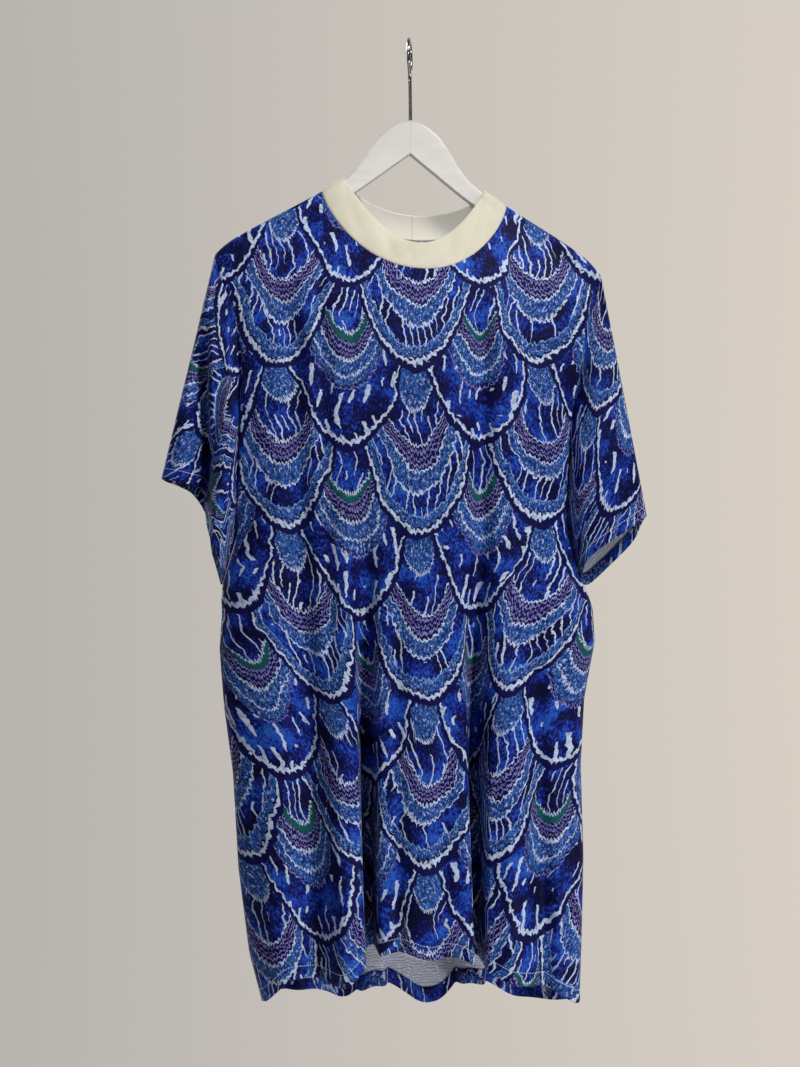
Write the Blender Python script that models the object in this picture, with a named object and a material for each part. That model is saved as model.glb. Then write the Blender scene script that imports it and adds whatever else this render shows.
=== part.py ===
# A loose t-shirt dress with drop shoulders and a dipped back hem, hanging flat on a plain
# wooden hanger. The origin is the inner top of the hanger's hook. The front faces -Y,
# +X is to the viewer's right, and sizes below are in millimetres.
import math

import bmesh
import bpy
import numpy as np
from mathutils import Vector

MM = 0.001

# Cloth
CLOTH_WALL = 1.2
BAND_WALL = 1.8
SEAM_GAP = 0.3

# Hanger
HANGER_TILT = math.radians(2.0)
HANGER_THICK = 10.6
HANGER_ROUND = 5.2
HOOK_ENTRY = -83.5
HOOK_WIRE = 1.9
HOOK_RADIUS = 17.0
HOOK_TURN = math.radians(-10.0)
HOOK_SINK = 14.0
HOLE_CLEAR = 0.35

# The cloth's outer face stands this far off the middle of the hanger's arm
ARM_WRAP = 8.0
ARM_LIFT = 3.0

# Neck opening, at the seam between band and body
NECK_CENTRE = 3.0
NECK_HALF = 98.0
NECK_FRONT_DROP = 79.5
NECK_BACK_DROP = 37.5
BAND_TOP_HALF = 76.0
BAND_TOP_FRONT_DROP = 67.0
BAND_TOP_BACK_DROP = 28.0
BAND_TOP_DEPTH = 26.0
BAND_LIFT = 0.7
BAND_SWELL = (0.0, 1.2, 1.4, 0.0)

# Where the armhole ends and the side seam starts
UNDERARM_Z = -525.0

# Mesh counts
COLUMNS = 42
SHOULDER_COLUMNS = 8
ARM_ROWS = 14
SKIRT_ROWS = 12
SLEEVE_ROWS = 8
FINE = 481
TINY = 1e-6

# Top edge of half a hanger in its own frame, from the middle to the tip: x, z
ARM_TOP = (
    (0.0, -83.5), (13.0, -87.0), (24.0, -94.0), (34.0, -103.5), (44.0, -118.0),
    (53.0, -132.5), (62.0, -143.5), (75.0, -154.5), (95.0, -167.5), (118.0, -181.0),
    (160.0, -205.5), (182.0, -221.0), (190.0, -229.0), (193.0, -236.0),
)
# The cloth's own line over the end of the arm, from where it leaves the wood: x, z
SHOULDER_END = ((160.0, -205.0), (186.0, -221.0), (198.0, -231.0), (208.0, -243.0))
# Lower edge from the tip back to the point of the inverted V: x, z
ARM_UNDER = (
    (192.0, -242.0), (187.0, -245.0), (181.0, -243.0), (160.0, -230.0), (118.0, -204.0),
    (71.0, -172.5), (49.0, -157.0), (0.0, -119.5),
)

# Side lines of the body, armhole above the underarm and side seam below it:
# z, left x, left y of the front edge, left y of the back edge, then the same on the right
SIDES = (
    (-232.0, -207.0, 0.0, 0.0, 202.0, 0.0, 0.0),
    (-250.0, -203.0, -8.0, 8.0, 202.0, -3.0, 4.0),
    (-276.0, -191.0, -9.5, 10.0, 195.0, -8.5, 9.0),
    (-300.0, -185.0, -11.0, 12.0, 184.5, -10.0, 12.0),
    (-340.0, -180.5, -13.0, 15.0, 178.5, -12.5, 15.0),
    (-383.0, -182.0, -14.0, 18.0, 169.0, -12.0, 18.0),
    (-424.0, -184.0, -12.0, 20.0, 165.0, -8.0, 20.0),
    (-475.0, -187.0, -6.0, 20.0, 164.0, 0.0, 20.0),
    (-525.0, -189.0, 6.0, 6.0, 166.0, 12.0, 12.0),
    (-555.0, -195.0, 6.0, 6.0, 168.5, 14.0, 14.0),
    (-572.0, -200.0, 6.0, 6.0, 174.0, 16.0, 16.0),
    (-588.0, -203.0, 6.0, 6.0, 185.0, 17.0, 17.0),
    (-604.0, -205.0, 6.0, 6.0, 193.0, 18.0, 18.0),
    (-640.0, -208.0, 6.0, 6.0, 194.5, 16.0, 16.0),
    (-700.0, -204.0, 5.0, 5.0, 181.0, 10.0, 10.0),
    (-770.0, -195.5, 4.0, 4.0, 175.5, 6.0, 6.0),
    (-870.0, -191.0, 4.0, 4.0, 177.0, 5.0, 5.0),
    (-958.0, -181.0, 4.0, 4.0, 173.5, 4.0, 4.0),
    (-1011.0, -168.0, 4.0, 4.0, 171.0, 4.0, 4.0),
    (-1030.0, -168.0, 4.0, 4.0, 171.0, 4.0, 4.0),
)

# How far front and back stand off the hanger's plane: fall below the shoulder line, front, back
DEPTHS = (
    (0.0, 0.0, 0.0),
    (20.0, 4.0, 5.0),
    (60.0, 13.0, 15.0),
    (130.0, 23.0, 24.0),
    (300.0, 31.0, 32.0),
    (600.0, 35.0, 36.0),
    (860.0, 42.0, 44.0),
)

# Lower edges: x, z
FRONT_HEM = (
    (-168.0, -1011.0), (-146.0, -988.0), (-128.0, -974.0), (-96.0, -982.0), (-75.0, -983.0),
    (-56.0, -966.0), (-40.0, -950.0), (-15.0, -947.0), (10.0, -957.0), (38.0, -953.0),
    (60.0, -970.0), (90.0, -986.0), (126.0, -996.0), (171.0, -1024.0),
)
BACK_HEM = (
    (-168.0, -1011.0), (-146.0, -1006.0), (-119.0, -1006.0), (-79.0, -1031.0), (-50.0, -1005.0),
    (-28.0, -1012.0), (7.0, -1040.0), (30.0, -1036.0), (50.0, -1007.0), (76.0, -1012.0),
    (108.0, -1033.0), (152.0, -1033.0), (171.0, -1024.0),
)

# Folds: x at the top, z at the top, x at the bottom, z at the bottom,
# rise at the top, rise at the bottom, half width; a rise below zero is a valley
FRONT_FOLDS = (
    (-128.0, -330.0, -109.0, -1000.0, -6.0, -12.0, 22.0),
    (-56.0, -560.0, -55.0, -1000.0, -1.0, -42.0, 15.0),
    (0.0, -520.0, -2.0, -1000.0, 3.0, 13.0, 44.0),
    (56.0, -640.0, 54.0, -1000.0, -1.0, -46.0, 15.0),
    (68.0, -350.0, 64.0, -740.0, -6.0, -7.0, 15.0),
    (118.0, -640.0, 127.0, -1010.0, -3.0, -16.0, 18.0),
    (-84.0, -620.0, -80.0, -1000.0, 2.0, 9.0, 17.0),
    (88.0, -640.0, 90.0, -1000.0, 2.0, 8.0, 20.0),
)
BACK_FOLDS = (
    (-132.0, -360.0, -128.0, -1030.0, -5.0, -16.0, 22.0),
    (-60.0, -560.0, -48.0, -1030.0, -2.0, -24.0, 18.0),
    (10.0, -420.0, 16.0, -1030.0, 4.0, 12.0, 36.0),
    (70.0, -500.0, 60.0, -1030.0, -3.0, -25.0, 17.0),
    (120.0, -620.0, 126.0, -1030.0, 3.0, 9.0, 26.0),
    (-92.0, -600.0, -84.0, -1030.0, 3.0, 10.0, 20.0),
)
FOLD_START = 90.0
# The two deep valleys of each panel, by their row
LEFT_VALLEY = 1
RIGHT_VALLEY = 3

# Cuffs, from the inner corner over the front to the outer corner: x, y, z, then back again
LEFT_CUFF_FRONT = (
    (-204.0, 8.0, -572.0), (-204.0, -8.0, -553.0), (-209.0, -20.0, -533.0),
    (-216.0, -21.0, -521.0), (-221.0, -8.0, -500.0), (-219.0, 2.0, -481.0),
    (-224.0, -11.0, -470.0), (-234.0, -17.0, -467.0), (-250.0, -14.0, -463.0),
    (-263.0, -6.0, -460.5),
)
LEFT_CUFF_BACK = (
    (-266.0, 4.0, -460.0), (-261.0, 13.0, -463.0), (-248.0, 20.0, -468.0),
    (-234.0, 24.0, -477.0), (-221.0, 27.0, -500.0), (-216.0, 30.0, -537.0),
    (-212.0, 30.0, -550.0), (-208.0, 25.0, -562.0), (-205.0, 16.0, -571.0),
)
RIGHT_CUFF_FRONT = (
    (180.0, 12.0, -572.0), (178.0, -2.0, -563.0), (184.0, -14.0, -548.0),
    (202.0, -22.0, -533.0), (216.0, -24.0, -524.0), (233.0, -20.0, -514.0),
    (246.0, -11.0, -506.0),
)
RIGHT_CUFF_BACK = (
    (250.5, 2.0, -504.0), (248.0, 14.0, -512.0), (240.0, 22.0, -529.0),
    (224.0, 28.0, -546.0), (206.0, 30.0, -563.0), (192.0, 27.0, -575.0),
    (184.0, 20.0, -577.0),
)
# How far each sleeve swells between armhole and cuff
SLEEVE_SWELL_FRONT = 8.0
SLEEVE_SWELL_BACK = 9.0
# Long vertical crease of the left sleeve: x, z at the top, z at the bottom, depth, half width
LEFT_CREASE = (-220.0, -290.0, -470.0, 15.0, 9.0)


def smooth(value, low, high):
    t = np.clip((value - low) / (high - low), 0.0, 1.0)
    return t * t * (3.0 - 2.0 * t)


def table(rows, column, value):
    # reads a column of a table at a value of its first column
    ordered = sorted(rows, key=lambda row: row[0])
    return np.interp(value, [row[0] for row in ordered], [row[column] for row in ordered])


def soft_table(rows, column, value, reach):
    # the same, averaged over a short reach so that the line has no corners
    shifts = np.linspace(-reach, reach, 7)
    return sum(table(rows, column, value + shift) for shift in shifts) / len(shifts)


def tilted(points):
    # turns points of the hanger's own frame by its tilt about the hook's entry
    points = np.asarray(points, dtype=float)
    x = points[:, 0]
    z = points[:, 1] - HOOK_ENTRY
    turned_x = x * math.cos(HANGER_TILT) + z * math.sin(HANGER_TILT)
    turned_z = z * math.cos(HANGER_TILT) - x * math.sin(HANGER_TILT)
    return np.column_stack((turned_x, turned_z + HOOK_ENTRY))


def shoulder_rows():
    on_wood = [point for point in ARM_TOP if point[0] < SHOULDER_END[0][0]]
    right = [(x, z + ARM_LIFT) for x, z in (*on_wood, *SHOULDER_END)]
    left = [(-x, z) for x, z in reversed(right[1:])]
    return tilted(left + right)


SHOULDER = shoulder_rows()


def shoulder_z(x):
    # height of the cloth's outer face along the top of the hanger
    return np.interp(x, SHOULDER[:, 0], SHOULDER[:, 1])


def neck_drop(x, drop):
    reach = np.clip(np.abs((x - NECK_CENTRE) / NECK_HALF), 0.0, 1.0)
    return drop * (1.0 - reach ** 2.1) ** (1.0 / 1.4)


def neck_z(x, drop):
    # the neck seam hangs from a straight line between the two ends of the shoulder seams
    ends = np.array([NECK_CENTRE - NECK_HALF, NECK_CENTRE + NECK_HALF])
    line = np.interp(x, ends, shoulder_z(ends))
    return line - neck_drop(x, drop)


def top_z(x, drop):
    inside = np.abs(x - NECK_CENTRE) < NECK_HALF
    return np.where(inside, neck_z(x, drop), shoulder_z(x))


def wrap(fall):
    # the cloth's round path over the arm: distance from its middle plane
    inside = ARM_WRAP - np.clip(fall, 0.0, ARM_WRAP)
    return np.sqrt(np.maximum(ARM_WRAP ** 2 - inside ** 2, 0.0))


def wrap_normals(points, facing):
    # which way the cloth faces on its way over the arm
    fall = np.maximum(shoulder_z(points[:, 0]) - points[:, 2], 0.0)
    slope = (shoulder_z(points[:, 0] + 1.0) - shoulder_z(points[:, 0] - 1.0)) / 2.0
    up = np.clip(1.0 - fall / ARM_WRAP, 0.0, 1.0)
    normals = np.column_stack((-slope * up, facing * np.sqrt(1.0 - up ** 2), up))
    return normals / np.linalg.norm(normals, axis=1, keepdims=True)


def fold_x(fold, z):
    x_top, z_top, x_low, z_low = fold[:4]
    return x_top + (x_low - x_top) * (z_top - z) / (z_top - z_low)


def folds_rise(folds, x, z):
    rise = np.zeros_like(x)
    for fold in folds:
        z_top, z_low, rise_top, rise_low, half = fold[1], *fold[3:]
        down = np.clip((z_top - z) / (z_top - z_low), 0.0, 1.0)
        size = rise_top + (rise_low - rise_top) * down ** 1.3
        start = smooth(z, z_top + FOLD_START, z_top)
        end = smooth(z, z_low - FOLD_START, z_low)
        rise += size * start * end * np.exp(-((x - fold_x(fold, z)) / half) ** 2)
    return rise


def body_row(share, facing, hem, folds, drop):
    # one row of the front (facing -1) or back (facing 1), from the left edge to the right one
    left_tip, right_tip = SIDES[0][1], SIDES[0][4]
    s = 0.5 - 0.5 * np.cos(np.linspace(0.0, math.pi, FINE))
    s = 0.55 * s + 0.45 * np.linspace(0.0, 1.0, FINE)
    corners = (np.array([-NECK_HALF, NECK_HALF]) + NECK_CENTRE - left_tip) / (right_tip - left_tip)
    s = np.sort(np.concatenate((s, corners)))
    high = top_z(left_tip + (right_tip - left_tip) * s, drop)
    left_low, right_low = hem[0][0], hem[-1][0]
    low = soft_table(hem, 1, left_low + (right_low - left_low) * s, 9.0)
    z = high + (low - high) * share
    # the two side lines are read at the height of the row's own ends
    x_left = table(SIDES, 1, z)
    x_right = table(SIDES, 4, z)
    x = x_left + (x_right - x_left) * s
    fall = np.maximum(shoulder_z(x) - z, 0.0)
    edge_column = (2, 5) if facing < 0 else (3, 6)
    edge = table(SIDES, edge_column[0], z) * (1.0 - s) + table(SIDES, edge_column[1], z) * s
    off = facing * (wrap(fall) + table(DEPTHS, 1 if facing < 0 else 2, fall))
    off = off + facing * folds_rise(folds, x, z)
    reach = np.abs(2.0 * s - 1.0)
    flat = 1.0 - reach ** 5
    round_ = np.sqrt(1.0 - reach ** 4)
    skirt = smooth(z, UNDERARM_Z + 45.0, UNDERARM_Z - 20.0)
    bulge = flat * (1.0 - skirt) + round_ * skirt
    y = edge + (off - edge) * bulge
    near_top = smooth(fall, 34.0, 6.0)
    y = y * (1.0 - near_top) + facing * wrap(fall) * near_top
    return np.column_stack((x, y, z))


def run_along(points):
    # share of the curve's length at each of its points
    steps = np.linalg.norm(np.diff(points, axis=0), axis=1)
    along = np.concatenate(([0.0], np.cumsum(steps)))
    return along / along[-1]


def placed(points, shares):
    # places along a curve at the given shares of its length
    along = run_along(points)
    return np.column_stack([np.interp(shares, along, points[:, k]) for k in range(3)])


def even(points, count):
    return placed(points, np.linspace(0.0, 1.0, count + 1))


def row_shares(left_tip_z, left_low_z):
    # rows crowd at the shoulder, and one row ends at the underarm
    under = (left_tip_z - UNDERARM_Z) / (left_tip_z - left_low_z)
    above = [under * (k / ARM_ROWS) ** 2 for k in range(ARM_ROWS)]
    below = [under + (1.0 - under) * k / SKIRT_ROWS for k in range(SKIRT_ROWS + 1)]
    return above + below


def surface_normals(points, closed):
    # unit vectors across a grid of points, from its rows and columns
    if closed:
        around = np.roll(points, -1, axis=1) - np.roll(points, 1, axis=1)
    else:
        around = np.gradient(points, axis=1)
    down = np.gradient(points, axis=0)
    normals = np.cross(around, down)
    return normals / np.linalg.norm(normals, axis=2, keepdims=True)


def edge_normals(points, facing, outward):
    # at a seam both pieces' walls stand the same way, square to the arm at the top and
    # along Y beside the armhole; at the underarm each turns to its own side
    turn = smooth(points[:, 2], UNDERARM_Z + 60.0, UNDERARM_Z) * (math.pi / 2.0)
    normals = wrap_normals(points, facing) * np.cos(turn)[:, None]
    normals[:, 0] += outward * np.sin(turn)
    return normals / np.linalg.norm(normals, axis=1, keepdims=True)


def material(name, colour, roughness, metallic=0.0):
    finish = bpy.data.materials.new(name)
    finish.use_nodes = True
    shader = finish.node_tree.nodes["Principled BSDF"]
    shader.inputs["Base Color"].default_value = (*colour, 1.0)
    shader.inputs["Roughness"].default_value = roughness
    shader.inputs["Metallic"].default_value = metallic
    finish.diffuse_color = (*colour, 1.0)
    return finish


def add_object(name, mesh, finish, smooth_angle=40.0):
    mesh.materials.append(finish)
    mesh.shade_smooth()
    mesh.set_sharp_from_angle(angle=math.radians(smooth_angle))
    thing = bpy.data.objects.new(name, mesh)
    bpy.context.scene.collection.objects.link(thing)
    return thing


def wall(name, outer, inner, closed, finish):
    # a cloth wall between two grids of points, with its rims closed
    bm = bmesh.new()
    rows, columns = outer.shape[:2]
    layers = []
    for grid in (outer, inner):
        layers.append([[bm.verts.new(Vector(grid[r, c]) * MM) for c in range(columns)]
                       for r in range(rows)])
    last = columns if closed else columns - 1
    for layer, flip in zip(layers, (False, True)):
        for r in range(rows - 1):
            for c in range(last):
                d = (c + 1) % columns
                corners = [layer[r][c], layer[r][d], layer[r + 1][d], layer[r + 1][c]]
                bm.faces.new(corners[::-1] if flip else corners)
    out, back = layers
    for c in range(last):
        d = (c + 1) % columns
        bm.faces.new([out[0][d], out[0][c], back[0][c], back[0][d]])
        bm.faces.new([out[-1][c], out[-1][d], back[-1][d], back[-1][c]])
    if not closed:
        for r in range(rows - 1):
            bm.faces.new([out[r][0], out[r + 1][0], back[r + 1][0], back[r][0]])
            bm.faces.new([out[r + 1][-1], out[r][-1], back[r][-1], back[r + 1][-1]])
    bmesh.ops.triangulate(bm, faces=bm.faces[:])
    bmesh.ops.recalc_face_normals(bm, faces=bm.faces[:])
    mesh = bpy.data.meshes.new(name)
    bm.to_mesh(mesh)
    bm.free()
    return add_object(name, mesh, finish)


def top_columns(top_row):
    # columns of the top edge, with one at each end of the neck opening
    along = run_along(top_row)
    inside = np.abs(top_row[:, 0] - NECK_CENTRE) < NECK_HALF + TINY
    corners = along[inside][[0, -1]]
    # columns crowd at the neck's two corners, where the edge turns over the hanger's arm
    neck = np.linspace(0.0, 1.0, COLUMNS - 2 * SHOULDER_COLUMNS + 1)
    neck = 0.2 * neck + 0.8 * (0.5 - 0.5 * np.cos(math.pi * neck))
    side = np.linspace(0.0, 1.0, SHOULDER_COLUMNS + 1)
    return np.concatenate((
        side[:-1] * corners[0],
        corners[0] + (corners[1] - corners[0]) * neck,
        corners[1] + (1.0 - corners[1]) * side[1:],
    ))


def valley_columns(row, folds):
    # columns of a lower row, with one along the bottom of each of the two deep valleys
    along = run_along(row)
    stops = [0.0]
    for fold in (folds[LEFT_VALLEY], folds[RIGHT_VALLEY]):
        stops.append(np.interp(0.0, row[:, 0] - fold_x(fold, row[:, 2]), along))
    stops.append(1.0)
    return np.interp(np.arange(COLUMNS + 1), np.linspace(0, COLUMNS, 4), stops)


def body_grid(facing, hem, folds, drop):
    shares = row_shares(float(shoulder_z(SIDES[0][1])), hem[0][1])
    crowded = top_columns(body_row(0.0, facing, hem, folds, drop))
    rows = []
    for share in shares:
        loose = float(smooth(share, 0.02, 0.2))
        row = body_row(share, facing, hem, folds, drop)
        columns = crowded * (1.0 - loose) + valley_columns(row, folds) * loose
        rows.append(placed(row, columns))
    return np.array(rows)


def body_panel(name, facing, hem, folds, drop, finish):
    grid = body_grid(facing, hem, folds, drop)
    normals = surface_normals(grid, False)
    if np.mean(normals[:, :, 1]) * facing < 0.0:
        normals = -normals
    for column, side in ((0, -1.0), (-1, 1.0)):
        normals[:, column] = edge_normals(grid[:, column], facing, side)
    normals[0] = wrap_normals(grid[0], facing)
    # half of each seam's gap comes off this panel: shoulder, then side seam
    grid[:, :, 1] += facing * SEAM_GAP / 2.0 * seam_share(grid)
    return wall(name, grid, grid - normals * CLOTH_WALL, False, finish)


def seam_share(grid):
    # 1 on a shoulder seam and on a side seam, fading out within a few millimetres
    fall = np.maximum(shoulder_z(grid[:, :, 0]) - grid[:, :, 2], 0.0)
    share = smooth(fall, 3.0, 0.0)
    for column in (0, -1):
        below = grid[:, column, 2] <= UNDERARM_Z + 1.0
        share[below, column] = 1.0
    return share


def armhole_path(side):
    # the armhole seam as a loop: underarm, up the front, over the shoulder, down the back
    front = body_grid(-1.0, FRONT_HEM, FRONT_FOLDS, NECK_FRONT_DROP)
    back = body_grid(1.0, BACK_HEM, BACK_FOLDS, NECK_BACK_DROP)
    column = 0 if side < 0 else -1
    up = front[:ARM_ROWS + 1, column][::-1]
    down = back[1:ARM_ROWS, column]
    facing = np.concatenate((np.full(len(up), -1.0), np.full(len(down), 1.0)))
    return np.concatenate((up, down)), facing


def cuff_loop(front, back, counts):
    # the cuff with as many places as the armhole has, front and back apart
    outer = np.array([back[0]])
    up = smooth_line(np.concatenate((np.array(front), outer)))
    down = smooth_line(np.concatenate((np.array(back), np.array(front[:1]))))
    first = even(up, counts[0])
    second = even(down, counts[1])
    return np.concatenate((first, second[1:-1]))


def smooth_line(points):
    # a curve through the points of a short table
    fine = []
    padded = np.concatenate((2 * points[:1] - points[1:2], points, 2 * points[-1:] - points[-2:-1]))
    for k in range(1, len(padded) - 2):
        a, b, c, d = padded[k - 1:k + 3]
        for t in np.linspace(0.0, 1.0, 12, endpoint=False):
            fine.append(0.5 * (2 * b + (c - a) * t + (2 * a - 5 * b + 4 * c - d) * t ** 2
                               + (3 * b - a - 3 * c + d) * t ** 3))
    fine.append(points[-1])
    return np.array(fine)


def crease_depth(grid, crease):
    x, z_top, z_low, depth, half = crease
    z = grid[:, :, 2]
    along = smooth(z, z_top + 30.0, z_top - 50.0) * smooth(z, z_low - 60.0, z_low)
    front = smooth(grid[:, :, 1], 6.0, -4.0)
    return depth * along * front * np.exp(-((grid[:, :, 0] - x) / half) ** 2)


def sleeve(name, side, cuff_front, cuff_back, crease, finish):
    ring, facing = armhole_path(side)
    up = ARM_ROWS
    cuff = cuff_loop(cuff_front, cuff_back, (up, len(ring) - up))
    normals_at_seam = np.array([
        edge_normals(ring[k:k + 1], facing[k], -side)[0] for k in range(len(ring))])
    start = ring + np.column_stack((np.full(len(ring), side * SEAM_GAP),
                                    np.zeros(len(ring)), np.zeros(len(ring))))
    rows = []
    for row in range(SLEEVE_ROWS + 1):
        t = row / SLEEVE_ROWS
        points = start + (cuff - start) * t
        swell = np.sin(np.arange(len(ring)) / len(ring) * 2.0 * math.pi)
        amount = np.where(swell > 0.0, SLEEVE_SWELL_FRONT, SLEEVE_SWELL_BACK)
        points[:, 1] -= swell * amount * math.sin(math.pi * t)
        rows.append(points)
    grid = np.array(rows)
    if crease:
        grid[:, :, 1] += crease_depth(grid, crease)
    normals = surface_normals(grid, True)
    front_half = normals[SLEEVE_ROWS // 2, 3:up - 3, 1]
    if np.mean(front_half) > 0.0:
        normals = -normals
    normals[0] = normals_at_seam
    return wall(name, grid, grid - normals * CLOTH_WALL, True, finish)


def neck_seam(facing, hem, folds, drop):
    # the body's own top edge between the shoulder seams
    grid = body_grid(facing, hem, folds, drop)
    return grid[0, SHOULDER_COLUMNS:COLUMNS - SHOULDER_COLUMNS + 1]


def band_top(share, facing):
    # the band's free edge, which also passes over the hanger's arms
    x = NECK_CENTRE + BAND_TOP_HALF * share
    drop = BAND_TOP_FRONT_DROP if facing < 0 else BAND_TOP_BACK_DROP
    power = 1.0 if facing < 0 else 0.7
    gap = np.clip(1.0 - share ** 2, 0.0, 1.0)
    ends = np.array([NECK_CENTRE - BAND_TOP_HALF, NECK_CENTRE + BAND_TOP_HALF])
    z = np.interp(x, ends, shoulder_z(ends)) + BAND_LIFT - drop * gap ** power
    fall = np.maximum(shoulder_z(x) + BAND_LIFT - z, 0.0)
    y = facing * np.maximum(BAND_TOP_DEPTH * gap ** 0.6, wrap(fall))
    return np.column_stack((x, y, z))


def neckband(finish):
    front = neck_seam(-1.0, FRONT_HEM, FRONT_FOLDS, NECK_FRONT_DROP)
    back = neck_seam(1.0, BACK_HEM, BACK_FOLDS, NECK_BACK_DROP)[::-1][1:-1]
    seam = np.concatenate((front, back))
    facing = np.concatenate((np.full(len(front), -1.0), np.full(len(back), 1.0)))
    share = (seam[:, 0] - NECK_CENTRE) / NECK_HALF
    top = np.where(facing[:, None] < 0.0, band_top(share, -1.0), band_top(share, 1.0))
    seam_normals = wrap_normals(seam, facing)
    toward = top - seam
    toward /= np.linalg.norm(toward, axis=1, keepdims=True)
    seam = seam + toward * SEAM_GAP
    grid = np.array([seam + (top - seam) * t for t in (0.0, 0.25, 0.6, 1.0)])
    normals = surface_normals(grid, True)
    if np.mean(normals[1, 4:len(front) - 4, 1]) > 0.0:
        normals = -normals
    grid = grid + normals * np.array(BAND_SWELL)[:, None, None]
    normals[0] = seam_normals
    return wall("neckband", grid, grid - normals * BAND_WALL, True, finish)


def hanger_body(finish):
    # a flat outline, thickened, with all its edges rounded
    half = [*ARM_TOP, *ARM_UNDER]
    other = [(-x, z) for x, z in reversed(half[1:-1])]
    bm = bmesh.new()
    outline = [bm.verts.new((x * MM, -HANGER_THICK / 2.0 * MM, z * MM)) for x, z in half + other]
    face = bm.faces.new(outline)
    extruded = bmesh.ops.extrude_face_region(bm, geom=[face])
    moved = [item for item in extruded["geom"] if isinstance(item, bmesh.types.BMVert)]
    bmesh.ops.translate(bm, verts=moved, vec=(0.0, HANGER_THICK * MM, 0.0))
    bmesh.ops.recalc_face_normals(bm, faces=bm.faces[:])
    rims = [edge for edge in bm.edges if abs(edge.verts[0].co.y - edge.verts[1].co.y) < 1e-7]
    bmesh.ops.bevel(bm, geom=rims, offset=HANGER_ROUND * MM, affect="EDGES", segments=3,
                    profile=0.5, material=-1, clamp_overlap=True)
    bmesh.ops.translate(bm, verts=bm.verts[:], vec=(0.0, 0.0, -HOOK_ENTRY * MM))
    bmesh.ops.triangulate(bm, faces=bm.faces[:])
    mesh = bpy.data.meshes.new("hanger_body")
    bm.to_mesh(mesh)
    bm.free()
    hanger = add_object("hanger_body", mesh, finish, 60.0)
    hanger.location = (0.0, 0.0, HOOK_ENTRY * MM)
    hanger.rotation_euler = (0.0, HANGER_TILT, 0.0)
    return hanger


def hook_bore(hanger):
    # the hole that the hook's stem sits in
    bm = bmesh.new()
    bmesh.ops.create_cone(bm, cap_ends=True, segments=16, radius1=(HOOK_WIRE + HOLE_CLEAR) * MM,
                          radius2=(HOOK_WIRE + HOLE_CLEAR) * MM, depth=2.0 * (HOOK_SINK + 1.0) * MM)
    mesh = bpy.data.meshes.new("hook_bore")
    bm.to_mesh(mesh)
    bm.free()
    cutter = bpy.data.objects.new("hook_bore", mesh)
    bpy.context.scene.collection.objects.link(cutter)
    cutter.location = (0.0, 0.0, HOOK_ENTRY * MM)
    cutter.hide_render = True
    cutter.display_type = "WIRE"
    cut = hanger.modifiers.new("bore", "BOOLEAN")
    cut.operation = "DIFFERENCE"
    cut.solver = "EXACT"
    cut.object = cutter


def hook_route():
    # over the rail from the tip at the back, down the front, then back to the stem's axis
    centre = HOOK_WIRE - HOOK_RADIUS
    route = []
    for degrees in range(-32, 226, 12):
        angle = math.radians(degrees)
        route.append((HOOK_RADIUS * math.cos(angle), centre + HOOK_RADIUS * math.sin(angle)))
    end_y, end_z = route[-1]
    stem_z = end_z - 17.0
    for step in range(1, 7):
        t = step / 6.0
        route.append((end_y * (1.0 - t) ** 2, end_z + (stem_z - end_z) * t))
    route.append((0.0, HOOK_ENTRY - HOOK_SINK))
    return route


def hanger_hook(finish):
    curve = bpy.data.curves.new("hanger_hook", "CURVE")
    curve.dimensions = "3D"
    curve.bevel_depth = HOOK_WIRE * MM
    curve.bevel_resolution = 3
    curve.use_fill_caps = True
    spline = curve.splines.new("POLY")
    route = hook_route()
    spline.points.add(len(route) - 1)
    for point, (y, z) in zip(spline.points, route):
        x = -y * math.sin(HOOK_TURN)
        point.co = (x * MM, y * math.cos(HOOK_TURN) * MM, z * MM, 1.0)
    curve.materials.append(finish)
    hook = bpy.data.objects.new("hanger_hook", curve)
    bpy.context.scene.collection.objects.link(hook)
    return hook


def build():
    for thing in list(bpy.data.objects):
        bpy.data.objects.remove(thing, do_unlink=True)
    print_jersey = material("printed jersey", (0.035, 0.09, 0.36), 0.75)
    rib = material("cream rib jersey", (0.86, 0.84, 0.78), 0.85)
    paint = material("white painted wood", (0.85, 0.84, 0.82), 0.4)
    steel = material("plated steel wire", (0.55, 0.55, 0.56), 0.25, 1.0)
    body_panel("body_front", -1.0, FRONT_HEM, FRONT_FOLDS, NECK_FRONT_DROP, print_jersey)
    body_panel("body_back", 1.0, BACK_HEM, BACK_FOLDS, NECK_BACK_DROP, print_jersey)
    sleeve("sleeve_left", -1.0, LEFT_CUFF_FRONT, LEFT_CUFF_BACK, LEFT_CREASE, print_jersey)
    sleeve("sleeve_right", 1.0, RIGHT_CUFF_FRONT, RIGHT_CUFF_BACK, None, print_jersey)
    neckband(rib)
    hanger = hanger_body(paint)
    hook_bore(hanger)
    hanger_hook(steel)


build()
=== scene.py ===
import math

import bmesh
import bpy
import numpy as np
from mathutils import Matrix, Vector, noise


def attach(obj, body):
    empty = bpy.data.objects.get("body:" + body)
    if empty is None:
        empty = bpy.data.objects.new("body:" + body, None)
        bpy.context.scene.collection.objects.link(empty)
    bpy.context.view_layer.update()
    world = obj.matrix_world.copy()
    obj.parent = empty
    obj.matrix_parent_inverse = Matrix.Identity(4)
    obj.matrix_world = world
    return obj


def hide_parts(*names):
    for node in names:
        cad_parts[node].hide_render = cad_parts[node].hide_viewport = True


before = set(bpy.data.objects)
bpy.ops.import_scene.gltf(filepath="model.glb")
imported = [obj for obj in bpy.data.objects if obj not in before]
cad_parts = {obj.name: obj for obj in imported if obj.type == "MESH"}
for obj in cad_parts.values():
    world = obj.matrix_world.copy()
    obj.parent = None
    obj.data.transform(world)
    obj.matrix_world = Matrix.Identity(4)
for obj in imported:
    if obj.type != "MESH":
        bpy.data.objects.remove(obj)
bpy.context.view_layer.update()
mm = 0.001
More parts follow.
